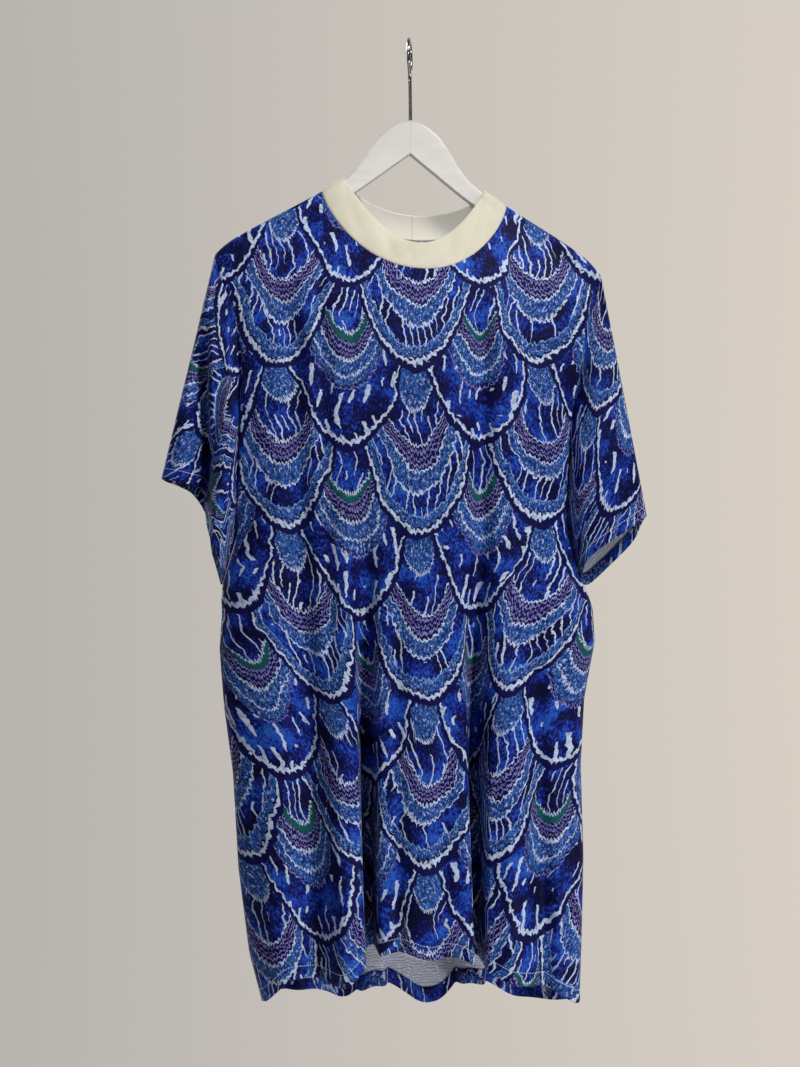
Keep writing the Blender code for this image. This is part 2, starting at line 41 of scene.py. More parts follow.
print("frame loaded:", ", ".join(sorted(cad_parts)))


# Helpers

def hexColour(code):
    # sRGB hex to the linear values that a shader takes
    parts = [int(code[k:k + 2], 16) / 255.0 for k in (1, 3, 5)]
    linear = [c / 12.92 if c <= 0.04045 else ((c + 0.055) / 1.055) ** 2.4 for c in parts]
    return (*linear, 1.0)


def addNode(tree, kind, inputs=(), stops=(), blend="LINEAR", **settings):
    # one node with its settings; an input takes a value, a socket or a whole node, and stops are
    # the places and colours of a ramp
    node = tree.nodes.new("ShaderNode" + kind)
    for key, value in settings.items():
        setattr(node, key, value)
    for socket, value in (inputs.items() if isinstance(inputs, dict) else enumerate(inputs)):
        if isinstance(value, bpy.types.Node):
            value = next(out for out in value.outputs if out.enabled)
        if isinstance(value, bpy.types.NodeSocket):
            tree.links.new(value, node.inputs[socket])
        else:
            node.inputs[socket].default_value = value
    if stops:
        bar = node.color_ramp
        bar.interpolation = blend
        bar.elements.remove(bar.elements[-1])
        bar.elements[0].position, bar.elements[0].color = stops[0]
        for place, colour in stops[1:]:
            bar.elements.new(place).color = colour
    return node


def addObject(name, data):
    piece = bpy.data.objects.new(name, data)
    bpy.context.scene.collection.objects.link(piece)
    return piece


def ease(value, low, high):
    t = np.clip((value - low) / (high - low), 0.0, 1.0)
    return t * t * (3.0 - 2.0 * t)


def lookUp(rows, column, value):
    ordered = sorted(rows, key=lambda row: row[0])
    return np.interp(value, [row[0] for row in ordered], [row[column] for row in ordered])


def softLookUp(rows, column, value, reach):
    shifts = np.linspace(-reach, reach, 9)
    return sum(lookUp(rows, column, value + shift) for shift in shifts) / len(shifts)


def curveThrough(points, steps=14):
    # a smooth line through a few points
    points = np.asarray(points, dtype=float)
    padded = np.concatenate((2 * points[:1] - points[1:2], points, 2 * points[-1:] - points[-2:-1]))
    line = []
    for k in range(1, len(padded) - 2):
        a, b, c, d = padded[k - 1:k + 3]
        for t in np.linspace(0.0, 1.0, steps, endpoint=False):
            line.append(0.5 * (2 * b + (c - a) * t + (2 * a - 5 * b + 4 * c - d) * t ** 2
                               + (3 * b - a - 3 * c + d) * t ** 3))
    line.append(points[-1])
    return np.array(line)


def shareAlong(points):
    steps = np.linalg.norm(np.diff(points, axis=0), axis=1)
    along = np.concatenate(([0.0], np.cumsum(steps)))
    return along / along[-1]


def placeAlong(points, shares):
    along = shareAlong(points)
    return np.column_stack([np.interp(shares, along, points[:, k]) for k in range(points.shape[1])])


def crowdEnds(count, crowd):
    # shares from 0 to 1 that stand closer together near both ends
    even = np.linspace(0.0, 1.0, count)
    return (1.0 - crowd) * even + crowd * (0.5 - 0.5 * np.cos(math.pi * even))


# The hanger's own shape, and the line that the cloth takes over it

hanger = {
    "tilt": math.radians(2), "thick": 10.6, "edgeTop": 3.4, "edgeUnder": 1.5, "entry": -83.5,
    "edgeSteps": 7, "sections": 73, "sharpAbove": math.radians(40),
    # half of the top edge, from the middle to the tip: x, z
    "armTop": ((0, -83.5), (13, -87), (24, -94), (34, -103.5), (44, -118),
               (53, -132.5), (62, -143.5), (75, -154.5), (95, -167.5), (118, -181),
               (160, -205.5), (182, -221), (190, -229), (193, -236)),
    "armUnder": ((192, -242), (187, -245), (181, -243), (160, -230),
                 (118, -204), (71, -172.5), (49, -157), (0, -119.5)),
    # the cloth's line past the end of the wood
    "clothEnd": ((160, -205), (186, -221), (198, -231), (208, -243)),
}

drape = {
    "wrap": 8, "lift": 3, "underarm": -525,
    # side lines: z, left x, left y of front and back, then the same on the right
    "sides": (
        (-232, -207, 0, 0, 202, 0, 0),
        (-250, -203, -8, 8, 202, -3, 4),
        (-276, -191, -9.5, 10, 195, -8.5, 9),
        (-300, -185, -11, 12, 184.5, -10, 12),
        (-340, -180.5, -13, 15, 178.5, -12.5, 15),
        (-383, -182, -14, 18, 169, -12, 18),
        (-424, -184, -12, 20, 165, -8, 20),
        (-475, -187, -6, 20, 164, 0, 20),
        (-525, -189, 6, 6, 166, 12, 12),
        (-540, -193.6, 6, 6, 170.2, 13, 13),
        (-555, -198.4, 6, 6, 174.8, 14, 14),
        (-572, -203.8, 6, 6, 180.4, 16, 16),
        (-588, -205.4, 6, 6, 187.6, 17, 17),
        (-604, -205, 6, 6, 193, 18, 18),
        (-640, -208, 6, 6, 194.5, 16, 16),
        (-700, -204, 5, 5, 181, 10, 10),
        (-770, -195.5, 4, 4, 175.5, 6, 6),
        (-870, -191, 4, 4, 177, 5, 5),
        (-958, -181, 4, 4, 173.5, 4, 4),
        (-1011, -168, 4, 4, 171, 4, 4),
        (-1030, -168, 4, 4, 171, 4, 4),
    ),
    # how far the panels stand off the hanger's plane: fall below the shoulder, front, back
    "depths": ((0, 0, 0), (20, 4, 5), (60, 13, 15), (130, 23, 24),
               (300, 31, 32), (600, 35, 36), (860, 42, 44)),
    "thick": 0.7, "hemTurn": 16, "cuffTurn": 12, "hemRound": 0.9,
    # points of a finely drawn row and how much they crowd to its sides; points of the shoulder's
    # line and how many of them on each side are averaged
    "fine": 1601, "crowd": 0.55, "shoulderFine": 801, "shoulderSoft": 12,
    # how far the tables above are softened along the cloth
    "hemSoft": 9, "sideSoft": 6, "depthSoft": 10,
    # heights about the underarm between which the chest's round row becomes the skirt's fuller one
    "skirtBegins": (45, -20), "chestFull": 5, "skirtFull": 4,
    # falls below the shoulder between which the cloth leaves its path over the wood
    "leavesArm": (34, 6),
}

neck = {"centre": 3, "half": 98, "round": 2.1, "square": 1.4}  # the last two are its curve


def tiltPoints(points):
    # turns points of the hanger's own plane by its tilt, about the place where the hook enters
    points = np.asarray(points, dtype=float)
    x, z = points[:, 0], points[:, 1] - hanger["entry"]
    c, s = math.cos(hanger["tilt"]), math.sin(hanger["tilt"])
    return np.column_stack((x * c + z * s, z * c - x * s + hanger["entry"]))


def shoulderLine():
    onWood = [point for point in hanger["armTop"] if point[0] < hanger["clothEnd"][0][0]]
    right = [(x, z + drape["lift"]) for x, z in (*onWood, *hanger["clothEnd"])]
    left = [(-x, z) for x, z in reversed(right[1:])]
    line = tiltPoints(left + right)
    # a short average takes the corners off the line past the neck
    reach = drape["shoulderSoft"]
    width = 2 * reach + 1
    x = np.linspace(line[0, 0], line[-1, 0], drape["shoulderFine"])
    z = np.interp(x, line[:, 0], line[:, 1])
    padded = np.pad(z, reach, mode="reflect", reflect_type="odd")
    return np.column_stack((x, np.convolve(padded, np.ones(width) / width, "valid")))


shoulder = shoulderLine()


def shoulderZ(x):
    return np.interp(x, shoulder[:, 0], shoulder[:, 1])


def neckEdgeZ(x, drop):
    ends = np.array([neck["centre"] - neck["half"], neck["centre"] + neck["half"]])
    reach = np.clip(np.abs((x - neck["centre"]) / neck["half"]), 0.0, 1.0)
    curve = (1.0 - reach ** neck["round"]) ** (1.0 / neck["square"])
    return np.interp(x, ends, shoulderZ(ends)) - drop * curve


def insideNeck(row):
    return np.abs(row[:, 0] - neck["centre"]) < neck["half"] + 1e-6


def topEdgeZ(x, drop):
    return np.where(np.abs(x - neck["centre"]) < neck["half"], neckEdgeZ(x, drop), shoulderZ(x))


def overArm(fall):
    # the cloth's round path over the arm: distance from its middle plane
    inside = drape["wrap"] - np.clip(fall, 0.0, drape["wrap"])
    return np.sqrt(np.maximum(drape["wrap"] ** 2 - inside ** 2, 0.0))


# The two body panels. A fold is x and z at its top, x and z at its low end, rise at the top and
# at the low end, and half width; a dent is x and z of its two ends, rise and half width.
# A rise below zero is a valley.

frontPanel = {
    "facing": -1, "drop": 79.5, "sideColumns": (2, 5), "depthColumn": 1, "seed": 3,
    "hem": ((-168, -1011), (-146, -988), (-128, -974), (-96, -982), (-75, -983),
            (-56, -966), (-40, -950), (-15, -947), (10, -957), (38, -953),
            (60, -970), (90, -986), (126, -996), (171, -1024)),
    "folds": (
        (-128, -330, -109, -1000, -11, -24, 15),
        (-57, -520, -54, -1000, -2, -62, 5.4),
        (0, -480, -2, -1000, 3, 13, 44),
        (57, -540, 58, -1000, -2, -62, 5.4),
        (70, -340, 62, -740, -11, -14, 10),
        (120, -640, 130, -1010, -6, -24, 12),
        (-84, -600, -82, -1000, 3, 11, 13),
        (90, -620, 90, -1000, 3, 11, 14),
        (-160, -700, -150, -1010, 1, 6, 12),
        (22, -640, 17, -980, -1.5, -7, 8),
        (-22, -540, -28, -960, -2.5, -6, 7.5),
        (-98, -300, -92, -640, -4.5, -6, 9),
        (42, -700, 43, -990, 0.5, 6, 7),
        (152, -620, 154, -980, -4, -8, 8),
    ),
    "dents": (
        (-172, -500, -120, -380, -7.5, 10),
        (-176, -560, -96, -520, -5.5, 10),
        (150, -520, 104, -400, -7.5, 10),
        (160, -590, 92, -560, -6, 10),
        (-150, -262, -112, -350, -4.6, 11),
        (148, -274, 118, -360, -4.6, 11),
        (-56, -250, -74, -360, -3.2, 8),
        (60, -254, 80, -372, -3.2, 8),
        (-160, -640, -70, -600, -3.2, 8),
        (150, -690, 80, -640, -3.2, 8),
        (-34, -420, 40, -470, -2.4, 8),
        (170, -535, 183, -640, -11, 8),
        (-180, -400, -186, -560, -4, 7),
    ),
    "valleys": (1, 3),
}

backPanel = {
    "facing": 1, "drop": 37.5, "sideColumns": (3, 6), "depthColumn": 2, "seed": 11,
    "hem": ((-168, -1011), (-146, -1006), (-119, -1006), (-79, -1031),
            (-50, -1005), (-28, -1012), (7, -1040), (30, -1036), (50, -1007),
            (76, -1012), (108, -1033), (152, -1033), (171, -1024)),
    "folds": (
        (-132, -360, -128, -1030, -9, -24, 17),
        (-60, -480, -48, -1030, -6, -24, 14),
        (10, -420, 16, -1030, 4, 12, 36),
        (70, -420, 60, -1030, -8, -25, 13),
        (120, -620, 126, -1030, 3, 9, 26),
        (-92, -600, -84, -1030, 3, 10, 20),
    ),
    "dents": (
        (-172, -520, -110, -380, -7, 10),
        (150, -530, 96, -410, -7, 10),
        (-60, -300, -84, -420, -4.5, 11),
        (66, -310, 90, -430, -4.5, 11),
    ),
    "valleys": (1, 3),
}

counts = {"columns": 168, "shoulderColumns": 32, "armRows": 64, "skirtRows": 124,
          "ringHalf": 84, "sleeveRows": 78, "bandFront": 120, "bandBack": 90,
          # crowding of the columns round the neck and of the rows at the shoulder
          "neckCrowd": 0.8, "bandCrowd": 0.7, "armCrowd": 1.6,
          # shares of the way down between which the columns move from the neck to the valleys
          "columnsMove": (0.02, 0.2)}

folding = {
    "fade": 90.0,  # length over which a fold fades past its ends
    "dentEnd": 0.02,  # share of a dent that its ends leave out
    # a deep valley: power of its growth, width at its top for one below, powers of its sides
    "growth": 0.85, "topWide": 2.2, "topSharp": 2.0, "lowSharp": 7.0,
}


def foldsRise(panel, x, z):
    rise = np.zeros_like(x)
    for k, (xTop, zTop, xLow, zLow, riseTop, riseLow, half) in enumerate(panel["folds"]):
        deep = k in panel["valleys"]
        down = np.clip((zTop - z) / (zTop - zLow), 0.0, 1.0)
        size = riseTop + (riseLow - riseTop) * down ** (folding["growth"] if deep else 1.0)
        sharp, wide = 2.0, half
        if deep:
            # it starts wide and soft, and gets narrow with steep sides lower down
            sharp = folding["topSharp"] + (folding["lowSharp"] - folding["topSharp"]) * down
            wide = half * (folding["topWide"] - (folding["topWide"] - 1.0) * down)
        start = ease(z, zTop + folding["fade"], zTop)
        end = ease(z, zLow - folding["fade"], zLow)
        middle = xTop + (xLow - xTop) * (zTop - z) / (zTop - zLow)
        rise += size * start * end * np.exp(-np.abs((x - middle) / wide) ** sharp)
    for xA, zA, xB, zB, size, half in panel["dents"]:
        length = math.hypot(xB - xA, zB - zA)
        t = np.clip(((x - xA) * (xB - xA) + (z - zA) * (zB - zA)) / length ** 2, 0.0, 1.0)
        away = np.hypot(x - xA - (xB - xA) * t, z - zA - (zB - zA) * t)
        along = np.sin(math.pi * np.clip(t, folding["dentEnd"], 1.0 - folding["dentEnd"]))
        rise += size * along * np.exp(-(away / half) ** 2)
    return rise


def panelRow(panel, share):
    # one row of a panel from its left edge to its right one, at a share of the way down
    facing, hem = panel["facing"], panel["hem"]
    leftTip, rightTip = drape["sides"][0][1], drape["sides"][0][4]
    corners = np.array([-neck["half"], neck["half"]]) + neck["centre"] - leftTip
    s = np.concatenate((crowdEnds(drape["fine"], drape["crowd"]), corners / (rightTip - leftTip)))
    s = np.sort(s)
    high = topEdgeZ(leftTip + (rightTip - leftTip) * s, panel["drop"])
    leftLow, rightLow = hem[0][0], hem[-1][0]
    low = softLookUp(hem, 1, leftLow + (rightLow - leftLow) * s, drape["hemSoft"])
    z = high + (low - high) * share
    xLeft = softLookUp(drape["sides"], 1, z, drape["sideSoft"] * share)
    xRight = softLookUp(drape["sides"], 4, z, drape["sideSoft"] * share)
    x = xLeft + (xRight - xLeft) * s
    fall = np.maximum(shoulderZ(x) - z, 0.0)
    edge = (lookUp(drape["sides"], panel["sideColumns"][0], z) * (1.0 - s)
            + lookUp(drape["sides"], panel["sideColumns"][1], z) * s)
    depth = softLookUp(drape["depths"], panel["depthColumn"], fall, drape["depthSoft"])
    off = facing * (overArm(fall) + depth + foldsRise(panel, x, z))
    reach = np.abs(2.0 * s - 1.0)
    skirt = ease(z, *(drape["underarm"] + step for step in drape["skirtBegins"]))
    chestShape = 1.0 - reach ** drape["chestFull"]
    skirtShape = np.sqrt(1.0 - reach ** drape["skirtFull"])
    y = edge + (off - edge) * (chestShape * (1.0 - skirt) + skirtShape * skirt)
    nearTop = ease(fall, *drape["leavesArm"])
    y = y * (1.0 - nearTop) + facing * overArm(fall) * nearTop
    return np.column_stack((x, y, z))


def topColumns(row):
    # columns along the top edge, with one at each end of the neck opening
    first, last = shareAlong(row)[insideNeck(row)][[0, -1]]
    across = crowdEnds(counts["columns"] - 2 * counts["shoulderColumns"] + 1, counts["neckCrowd"])
    side = np.linspace(0.0, 1.0, counts["shoulderColumns"] + 1)
    return np.concatenate((side[:-1] * first, first + (last - first) * across,
                           last + (1.0 - last) * side[1:]))


def valleyColumns(panel, row):
    # columns lower down, with the same ones always at the bottom of each deep valley
    along = shareAlong(row)
    stops = [0.0]
    for index in panel["valleys"]:
        xTop, zTop, xLow, zLow = panel["folds"][index][:4]
        middle = xTop + (xLow - xTop) * (zTop - row[:, 2]) / (zTop - zLow)
        stops.append(np.interp(0.0, row[:, 0] - middle, along))
    stops.append(1.0)
    columns = np.arange(counts["columns"] + 1)
    return np.interp(columns, np.linspace(0, counts["columns"], len(stops)), stops)


def underarmShare(panel):
    top = float(shoulderZ(drape["sides"][0][1]))
    return (top - drape["underarm"]) / (top - panel["hem"][0][1])


def panelGrid(panel):
    under = underarmShare(panel)
    arm, skirt = counts["armRows"], counts["skirtRows"]
    shares = [under * (k / arm) ** counts["armCrowd"] for k in range(arm)]
    shares += [under + (1.0 - under) * k / skirt for k in range(skirt + 1)]
    crowded = topColumns(panelRow(panel, 0.0))
    rows = []
    for share in shares:
        loose = float(ease(share, *counts["columnsMove"]))
        row = panelRow(panel, share)
        rows.append(placeAlong(row, crowded * (1.0 - loose) + valleyColumns(panel, row) * loose))
    grid = np.array(rows)
    return grid + unevenness(grid, panel["facing"], panel["seed"])


slack = {
    "waves": ((38.0, 120.0, 1.9, 0.0), (15.0, 60.0, 0.7, 5.0)),  # across, down, height, shift
    "from": (10.0, 60.0),  # falls below the shoulder between which they begin
    "sideColumns": 12.0,  # columns over which they fade to the sides
}


def unevenness(grid, facing, seed):
    # slack jersey is never quite even: slow waves, longer down than across
    rise = np.zeros(grid.shape)
    flat = grid.reshape(-1, 3)
    wave = np.zeros(len(flat))
    for across, down, high, shift in slack["waves"]:
        wave += [noise.noise(Vector((x / across, z / down, seed + shift))) * high for x, y, z in flat]
    fall = np.maximum(shoulderZ(grid[:, :, 0]) - grid[:, :, 2], 0.0)
    column = np.arange(grid.shape[1])
    edge = np.clip(np.minimum(column, column[::-1]) / slack["sideColumns"], 0.0, 1.0)
    rise[:, :, 1] = facing * wave.reshape(fall.shape) * ease(fall, *slack["from"]) * edge[None, :]
    return rise


def gridNormals(grid, closed, toward):
    # unit vectors across a grid; toward is a rough outward direction at each point
    if closed:
        around = np.empty_like(grid)
        around[:, 1:-1] = grid[:, 2:] - grid[:, :-2]
        around[:, 0] = around[:, -1] = grid[:, 1] - grid[:, -2]
    else:
        around = np.gradient(grid, axis=1)
    normals = np.cross(around, np.gradient(grid, axis=0))
    normals /= np.maximum(np.linalg.norm(normals, axis=2, keepdims=True), 1e-9)
    if np.mean(np.sum(normals * toward, axis=2)) < 0.0:
        normals = -normals
    return normals


def cutMap(grid, centre, levelRow=None):
    # the flat cut of a grid: straight down its columns, and out along its rows from one column;
    # a sleeve is level at its cuff, and a panel hangs from its top edge; where a row climbs
    # steeply, at least this share of its length goes sideways
    least = 0.3
    down = np.linalg.norm(np.diff(grid, axis=0), axis=2)
    v = np.zeros(grid.shape[:2])
    v[0] = grid[0, centre, 2] - grid[0, :, 2]
    v[1:] = v[0] + np.cumsum(down, axis=0)
    if levelRow is not None:
        v -= v[levelRow]
    step = np.linalg.norm(np.diff(grid, axis=1), axis=2)
    step = np.sqrt(np.maximum(step ** 2 - np.diff(v, axis=1) ** 2, (least * step) ** 2))
    u = np.concatenate((np.zeros((len(grid), 1)), np.cumsum(step, axis=1)), axis=1)
    return np.dstack((u - u[:, centre:centre + 1], v))


def rowAbove(grid, up):
    # the points that lie at one height above the edge, measured up each column of the cloth
    fromEdge = grid[::-1]
    reach = np.cumsum(np.linalg.norm(np.diff(fromEdge, axis=0), axis=2), axis=0)
    reach = np.concatenate((np.zeros((1, grid.shape[1])), reach))
    row = np.empty_like(grid[-1])
    for column in range(grid.shape[1]):
        for k in range(3):
            row[column, k] = np.interp(up, reach[:, column], fromEdge[:, column, k])
    return row


def turnHem(grid, normals, depth, radius):
    # the allowance: round the edge and back up inside
    tail = []
    edge, lastNormal = grid[-1], normals[-1]
    down = grid[-1] - grid[-3]
    down /= np.linalg.norm(down, axis=1, keepdims=True)
    for degrees in (45.0, 90.0, 135.0, 180.0):
        a = math.radians(degrees)
        tail.append(edge + down * radius * math.sin(a) - lastNormal * radius * (1.0 - math.cos(a)))
    for share in (0.2, 0.4, 0.6, 0.8, 1.0):
        tail.append(rowAbove(grid, depth * share) - lastNormal * 2.0 * radius)
    return np.concatenate((grid, np.array(tail)))


stitch = {"long": 2.6, "step": 3.0, "start": 0.15, "wide": 0.8, "high": 0.42, "sunk": 0.3,
          "hem": 13.0, "cuff": 10.5}


def sewRow(name, grid, normals, up, thread):
    # a row of separate stitches, each a small drawn-out bead that sinks in at both ends
    line = rowAbove(grid, up) + normals[-3] * stitch["high"] * stitch["sunk"]
    steps = np.linalg.norm(np.diff(line, axis=0), axis=1)
    along = np.concatenate(([0.0], np.cumsum(steps)))
    bm = bmesh.new()
    for k in range(int(along[-1] / stitch["step"])):
        begin = (k + stitch["start"]) * stitch["step"]
        a, b = (Vector([np.interp(place, along, line[:, n]) for n in range(3)]) * mm
                for place in (begin, begin + stitch["long"]))
        column = min(int(np.searchsorted(along, (k + 0.5) * stitch["step"])), len(line) - 1)
        way = (b - a).normalized()
        across = way.cross(Vector(normals[-3, column])).normalized()
        turn = Matrix((way * (b - a).length / 2.0, across * stitch["wide"] / 2.0 * mm,
                       across.cross(way) * stitch["high"] / 2.0 * mm)).transposed().to_4x4()
        bmesh.ops.create_uvsphere(bm, u_segments=6, v_segments=5, radius=1.0,
                                  matrix=Matrix.Translation((a + b) / 2.0) @ turn)
    mesh = bpy.data.meshes.new(name)
    bm.to_mesh(mesh)
    bm.free()
    mesh.materials.append(thread)
    mesh.shade_smooth()
    piece = addObject(name, mesh)
    settle(piece, None)
    return piece


def gridMesh(name, grid, cut, toward, finishes):
    # a grid of faces shaped on the given points, with the flat cut as its UV map; a panel faces
    # toward its outward side, and a tube, which has none, is closed where its edges meet
    rows, columns = grid.shape[:2]
    bm = bmesh.new()
    bmesh.ops.create_grid(bm, x_segments=columns - 1, y_segments=rows - 1, size=1.0)
    mesh = bpy.data.meshes.new(name)
    bm.to_mesh(mesh)
    bm.free()
    flat = np.empty(len(mesh.vertices) * 3)
    mesh.vertices.foreach_get("co", flat)
    flat = flat.reshape(-1, 3)
    i = np.rint((flat[:, 0] + 1.0) / 2.0 * (columns - 1)).astype(int)
    j = np.rint((1.0 - flat[:, 1]) / 2.0 * (rows - 1)).astype(int)
    mesh.vertices.foreach_set("co", (grid[j, i] * mm).ravel())
    corner = np.empty(len(mesh.loops), dtype=int)
    mesh.loops.foreach_get("vertex_index", corner)
    uv = mesh.uv_layers.new(name="cut")
    uv.data.foreach_set("uv", (cut[j, i][corner] * mm).ravel())
    mesh.update()
    bm = bmesh.new()
    bm.from_mesh(mesh)
    if toward is None:
        bmesh.ops.remove_doubles(bm, verts=bm.verts[:], dist=1e-6)
    elif sum(face.normal.dot(Vector(toward)) for face in bm.faces) < 0.0:
        bmesh.ops.reverse_faces(bm, faces=bm.faces[:])
    bm.to_mesh(mesh)
    bm.free()
    for finish in finishes:
        mesh.materials.append(finish)
    mesh.shade_smooth()
    return addObject(name, mesh)


def thicken(piece, thick):
    wall = piece.modifiers.new("thickness", "SOLIDIFY")
    wall.thickness = thick * mm
    wall.offset = -1.0
    wall.use_rim = True
    wall.material_offset = 1
    wall.material_offset_rim = 0


def settle(piece, node):
    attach(piece, "root")
    if node:
        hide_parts(node)


# Sleeves. A cuff runs from its inner corner over the front to its outer corner, then back. Below
# the shoulder the cloth falls in behind the front seam, most at that share of the sleeve's length.

leftSleeve = {
    "edge": 0, "grain": math.radians(38), "gap": 9, "gapAt": 0.05,
    "front": ((-204, 8, -572), (-204, -8, -553), (-209, -20, -533),
              (-216, -21, -521), (-221, -8, -500), (-219, 2, -481),
              (-224, -11, -470), (-234, -17, -467), (-250, -14, -463),
              (-263, -6, -460.5)),
    "back": ((-266, 4, -460), (-261, 13, -463), (-248, 20, -468),
             (-234, 24, -477), (-221, 27, -500), (-216, 30, -537),
             (-212, 30, -550), (-208, 25, -562), (-205, 16, -571)),
    # long upright crease: x, z at the top, z at the bottom, depth, half width left and right
    "creases": ((-218, -310, -480, 26, 15, 3.5),),
}

rightSleeve = {
    "edge": -1, "grain": math.radians(-38), "gap": 17, "gapAt": 0.055,
    "front": ((180, 12, -572), (178, -2, -563), (184, -14, -548),
              (202, -22, -533), (216, -24, -524), (233, -20, -514),
              (246, -11, -506)),
    "back": ((250.5, 2, -504), (248, 14, -513), (241, 22, -531),
             (225, 28, -549), (207, 30, -566), (193, 27, -577),
             (184, 20, -578)),
    "creases": (),
}

sleeveForm = {
    "swell": (8, 9),  # of the front and of the back
    "gapFrom": (-290, -380),  # heights between which the cloth begins to fall in
    "creaseTop": (30, -50), "creaseLow": (-60, 0),  # how a crease fades in and out
    "front": (8, -4),  # depths between which the cloth counts as the front
}


def sleeveGrid(sleeve):
    # a ring of columns from the underarm up the front, over the shoulder and down the back
    q = np.linspace(0.0, 1.0, counts["ringHalf"] + 1)
    frontUnder, backUnder = underarmShare(frontPanel), underarmShare(backPanel)
    up = np.array([panelRow(frontPanel, frontUnder * (1.0 - k) ** 2)[sleeve["edge"]] for k in q])
    down = np.array([panelRow(backPanel, backUnder * k ** 2)[sleeve["edge"]] for k in q])
    ring = np.concatenate((up, down[1:]))
    ring[-1] = ring[0]
    cuffUp = placeAlong(curveThrough([*sleeve["front"], sleeve["back"][0]]), q)
    cuffDown = placeAlong(curveThrough([*sleeve["back"], sleeve["front"][0]]), q)
    cuff = np.concatenate((cuffUp, cuffDown[1:]))
    swell = np.sin(np.linspace(0.0, 2.0 * math.pi, len(ring)))
    amount = np.where(swell > 0.0, *sleeveForm["swell"])
    rows = []
    for t in np.linspace(0.0, 1.0, counts["sleeveRows"] + 1):
        points = ring + (cuff - ring) * t
        points[:, 1] -= swell * amount * math.sin(math.pi * t)
        near = t / sleeve["gapAt"]
        gap = sleeve["gap"] * near * math.exp(1.0 - near) * ease(points[:, 2], *sleeveForm["gapFrom"])
        points[:, 1] += np.sqrt(np.maximum(swell, 0.0)) * gap
        rows.append(points)
    grid = np.array(rows)
    for x, zTop, zLow, depth, left, right in sleeve["creases"]:
        z = grid[:, :, 2]
        along = ease(z, *(zTop + fade for fade in sleeveForm["creaseTop"]))
        along = along * ease(z, *(zLow + fade for fade in sleeveForm["creaseLow"]))
        off = grid[:, :, 0] - x
        across = np.exp(-(off / np.where(off < 0.0, left, right)) ** 2)
        grid[:, :, 1] += depth * along * ease(grid[:, :, 1], *sleeveForm["front"]) * across
    return grid


def makeSleeve(name, sleeve, finishes):
    grid = sleeveGrid(sleeve)
    normals = gridNormals(grid, True, grid - grid.mean(axis=1, keepdims=True))
    full = turnHem(grid, normals, drape["cuffTurn"], drape["hemRound"])
    cut = cutMap(full, counts["ringHalf"], len(grid) - 1)
    c, s = math.cos(sleeve["grain"]), math.sin(sleeve["grain"])
    cut = np.dstack((cut[:, :, 0] * c - cut[:, :, 1] * s, cut[:, :, 0] * s + cut[:, :, 1] * c))
    piece = gridMesh(name + "_cloth", full, cut, None, finishes)
    turnOutward(piece, grid, normals)
    thicken(piece, drape["thick"])
    settle(piece, name)
    return piece, grid, normals


def turnOutward(piece, grid, normals):
    # the faces of a tube follow the outward side of the grid that it was made from
    j, i = grid.shape[0] // 2, grid.shape[1] // 4
    place, outward = Vector(grid[j, i] * mm), Vector(normals[j, i])
    bm = bmesh.new()
    bm.from_mesh(piece.data)
    near = min(bm.faces, key=lambda face: (face.calc_center_median() - place).length)
    if near.normal.dot(outward) < 0.0:
        bmesh.ops.reverse_faces(bm, faces=bm.faces[:])
    bm.to_mesh(piece.data)
    bm.free()


def makePanel(name, panel, finishes):
    grid = panelGrid(panel)
    toward = np.zeros_like(grid)
    toward[:, :, 1] = panel["facing"]
    normals = gridNormals(grid, False, toward)
    full = turnHem(grid, normals, drape["hemTurn"], drape["hemRound"])
    cut = cutMap(full, counts["columns"] // 2)
    piece = gridMesh(name + "_cloth", full, cut, (0.0, panel["facing"], 0.0), finishes)
    thicken(piece, drape["thick"])
    settle(piece, name)
    return piece, grid, normals


# Neckband: a folded strip, so a closed loop of a closed section

band = {
    "topHalf": 76.0, "topFrontDrop": 67.0, "topBackDrop": 28.0, "topDepth": 26.0, "lift": 0.7,
    "swell": 1.5, "thick": 2.0, "cloth": 0.8, "outerRows": 16, "foldRows": 6,
    # powers of the back's drop, of the depth from front to back and of the swell across the strip
    "dropRound": 0.7, "depthRound": 0.6, "swellRound": 0.8,
    # shallow puckers of its front: x, depth, half width
    "dents": ((-62.0, 1.2, 9.0), (-25.0, 1.6, 6.0), (-4.0, 1.1, 4.0), (38.0, 1.7, 7.0),
              (66.0, 1.0, 8.0)),
}


def bandTop(share, facing):
    x = neck["centre"] + band["topHalf"] * share
    gap = np.clip(1.0 - share ** 2, 0.0, 1.0)
    ends = np.array([neck["centre"] - band["topHalf"], neck["centre"] + band["topHalf"]])
    drop = np.where(facing < 0.0, band["topFrontDrop"] * gap,
                    band["topBackDrop"] * gap ** band["dropRound"])
    z = np.interp(x, ends, shoulderZ(ends)) + band["lift"] - drop
    fall = np.maximum(shoulderZ(x) + band["lift"] - z, 0.0)
    y = facing * np.maximum(band["topDepth"] * gap ** band["depthRound"], overArm(fall))
    return np.column_stack((x, y, z))


def neckSeam(panel, count):
    row = panelRow(panel, 0.0)
    return placeAlong(row[insideNeck(row)], crowdEnds(count + 1, counts["bandCrowd"]))


